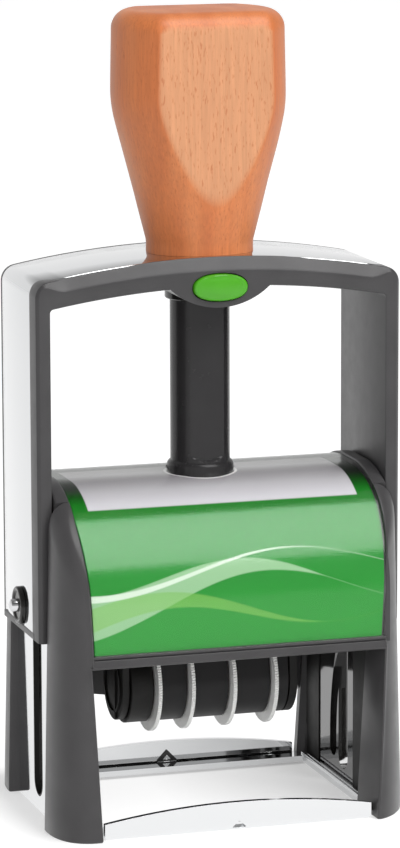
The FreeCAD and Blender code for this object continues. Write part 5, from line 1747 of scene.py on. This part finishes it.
world = bpy.data.worlds.new("studio")
bpy.context.scene.world = world
world.use_nodes = True
world.node_tree.nodes.clear()
way = axes_of(world, node(world, "ShaderNodeTexCoord").outputs["Generated"])
ahead = spread(world, way["Y"], -0.3, 0.3, 0.5, 0.92)
right = spread(world, way["X"], 0.35, 0.75, 1.0, 0.4)
high = spread(world, way["Z"], 0.3, 0.52, 1.0, 0.35)
studio = math_node(world, "MULTIPLY", math_node(world, "MULTIPLY", ahead, right), high)
white_light = (1, 1, 1, 1)
soft_light, studio_light, backdrop = [
    node(world, "ShaderNodeBackground", in_Strength=strength, in_Color=white_light).outputs[0]
    for strength in (0.34, studio, 1.0)
]
rays = node(world, "ShaderNodeLightPath").outputs
around = node(world, "ShaderNodeMixShader", in_0=mirror_rays(world, rays), in_1=soft_light, in_2=studio_light)
behind = node(world, "ShaderNodeMixShader", in_0=rays["Is Camera Ray"], in_1=around.outputs[0], in_2=backdrop)
node(world, "ShaderNodeOutputWorld", in_Surface=behind.outputs[0])
print("world:", len(world.node_tree.nodes), "nodes")

# %% [markdown]
# Large lamps give soft edges to shadows and highlights. The key lamp stands high at the right
# and is the one that glossy pieces show. The other two only lift the shadows, so they are
# hidden from mirrors.

# %% Lamps


def lamp(name, place, target, width, height, power):
    """A rectangular lamp at a place, turned towards a target, in metres and watts."""
    data = bpy.data.lights.new(name, "AREA")
    data.shape = "RECTANGLE"
    data.size = width
    data.size_y = height
    data.energy = power
    lit = bpy.data.objects.new(name, data)
    lit.location = place
    lit.rotation_euler = (Vector(target) - Vector(place)).to_track_quat("-Z", "Y").to_euler()
    bpy.context.scene.collection.objects.link(lit)
    print("lamp %s: %.1f W" % (name, power))
    return lit


lamp("key", (0.361, -0.608, 1.037), (0, 0, 0.065), 0.8, 1.02, 14.0)
fill = lamp("fill", (-0.5, -1.1, 0.4), (0, 0, 0.08), 0.8, 0.8, 5.0)
overhead = lamp("top", (0.0, 0.1, 1.3), (0, 0, 0.1), 1.2, 0.8, 1.5)
for soft in (fill, overhead):
    soft.visible_glossy = False

# %% [markdown]
# The camera stands a metre away, 17 degrees to the left of the front and 10 above it, and a
# long lens keeps the uprights nearly parallel. Its place is written as angles round the point
# it aims at, since these can be changed one at a time.

# %% Camera

AZIMUTH, ELEVATION, ROLL = radians(17.0), radians(10.22), radians(-0.19)
DISTANCE = 0.960
camera_data = bpy.data.cameras.new("camera")
camera_data.lens = 181.14
camera_data.sensor_width = 36.0
camera = bpy.data.objects.new("camera", camera_data)
bpy.context.scene.collection.objects.link(camera)
aim = Vector((0.0, 0.0, 0.08645))
flat_part = cos(ELEVATION)
direction = Vector((-sin(AZIMUTH) * flat_part, -cos(AZIMUTH) * flat_part, sin(ELEVATION)))
camera.location = aim + direction * DISTANCE
upright = (aim - camera.location).to_track_quat("-Z", "Y").to_matrix()
camera.rotation_euler = (upright @ Matrix.Rotation(ROLL, 3, "Z")).to_euler()
bpy.context.scene.camera = camera
bpy.context.scene.view_settings.view_transform = "Standard"
print("camera: %.0f mm lens, %.2f m away" % (camera_data.lens, DISTANCE))
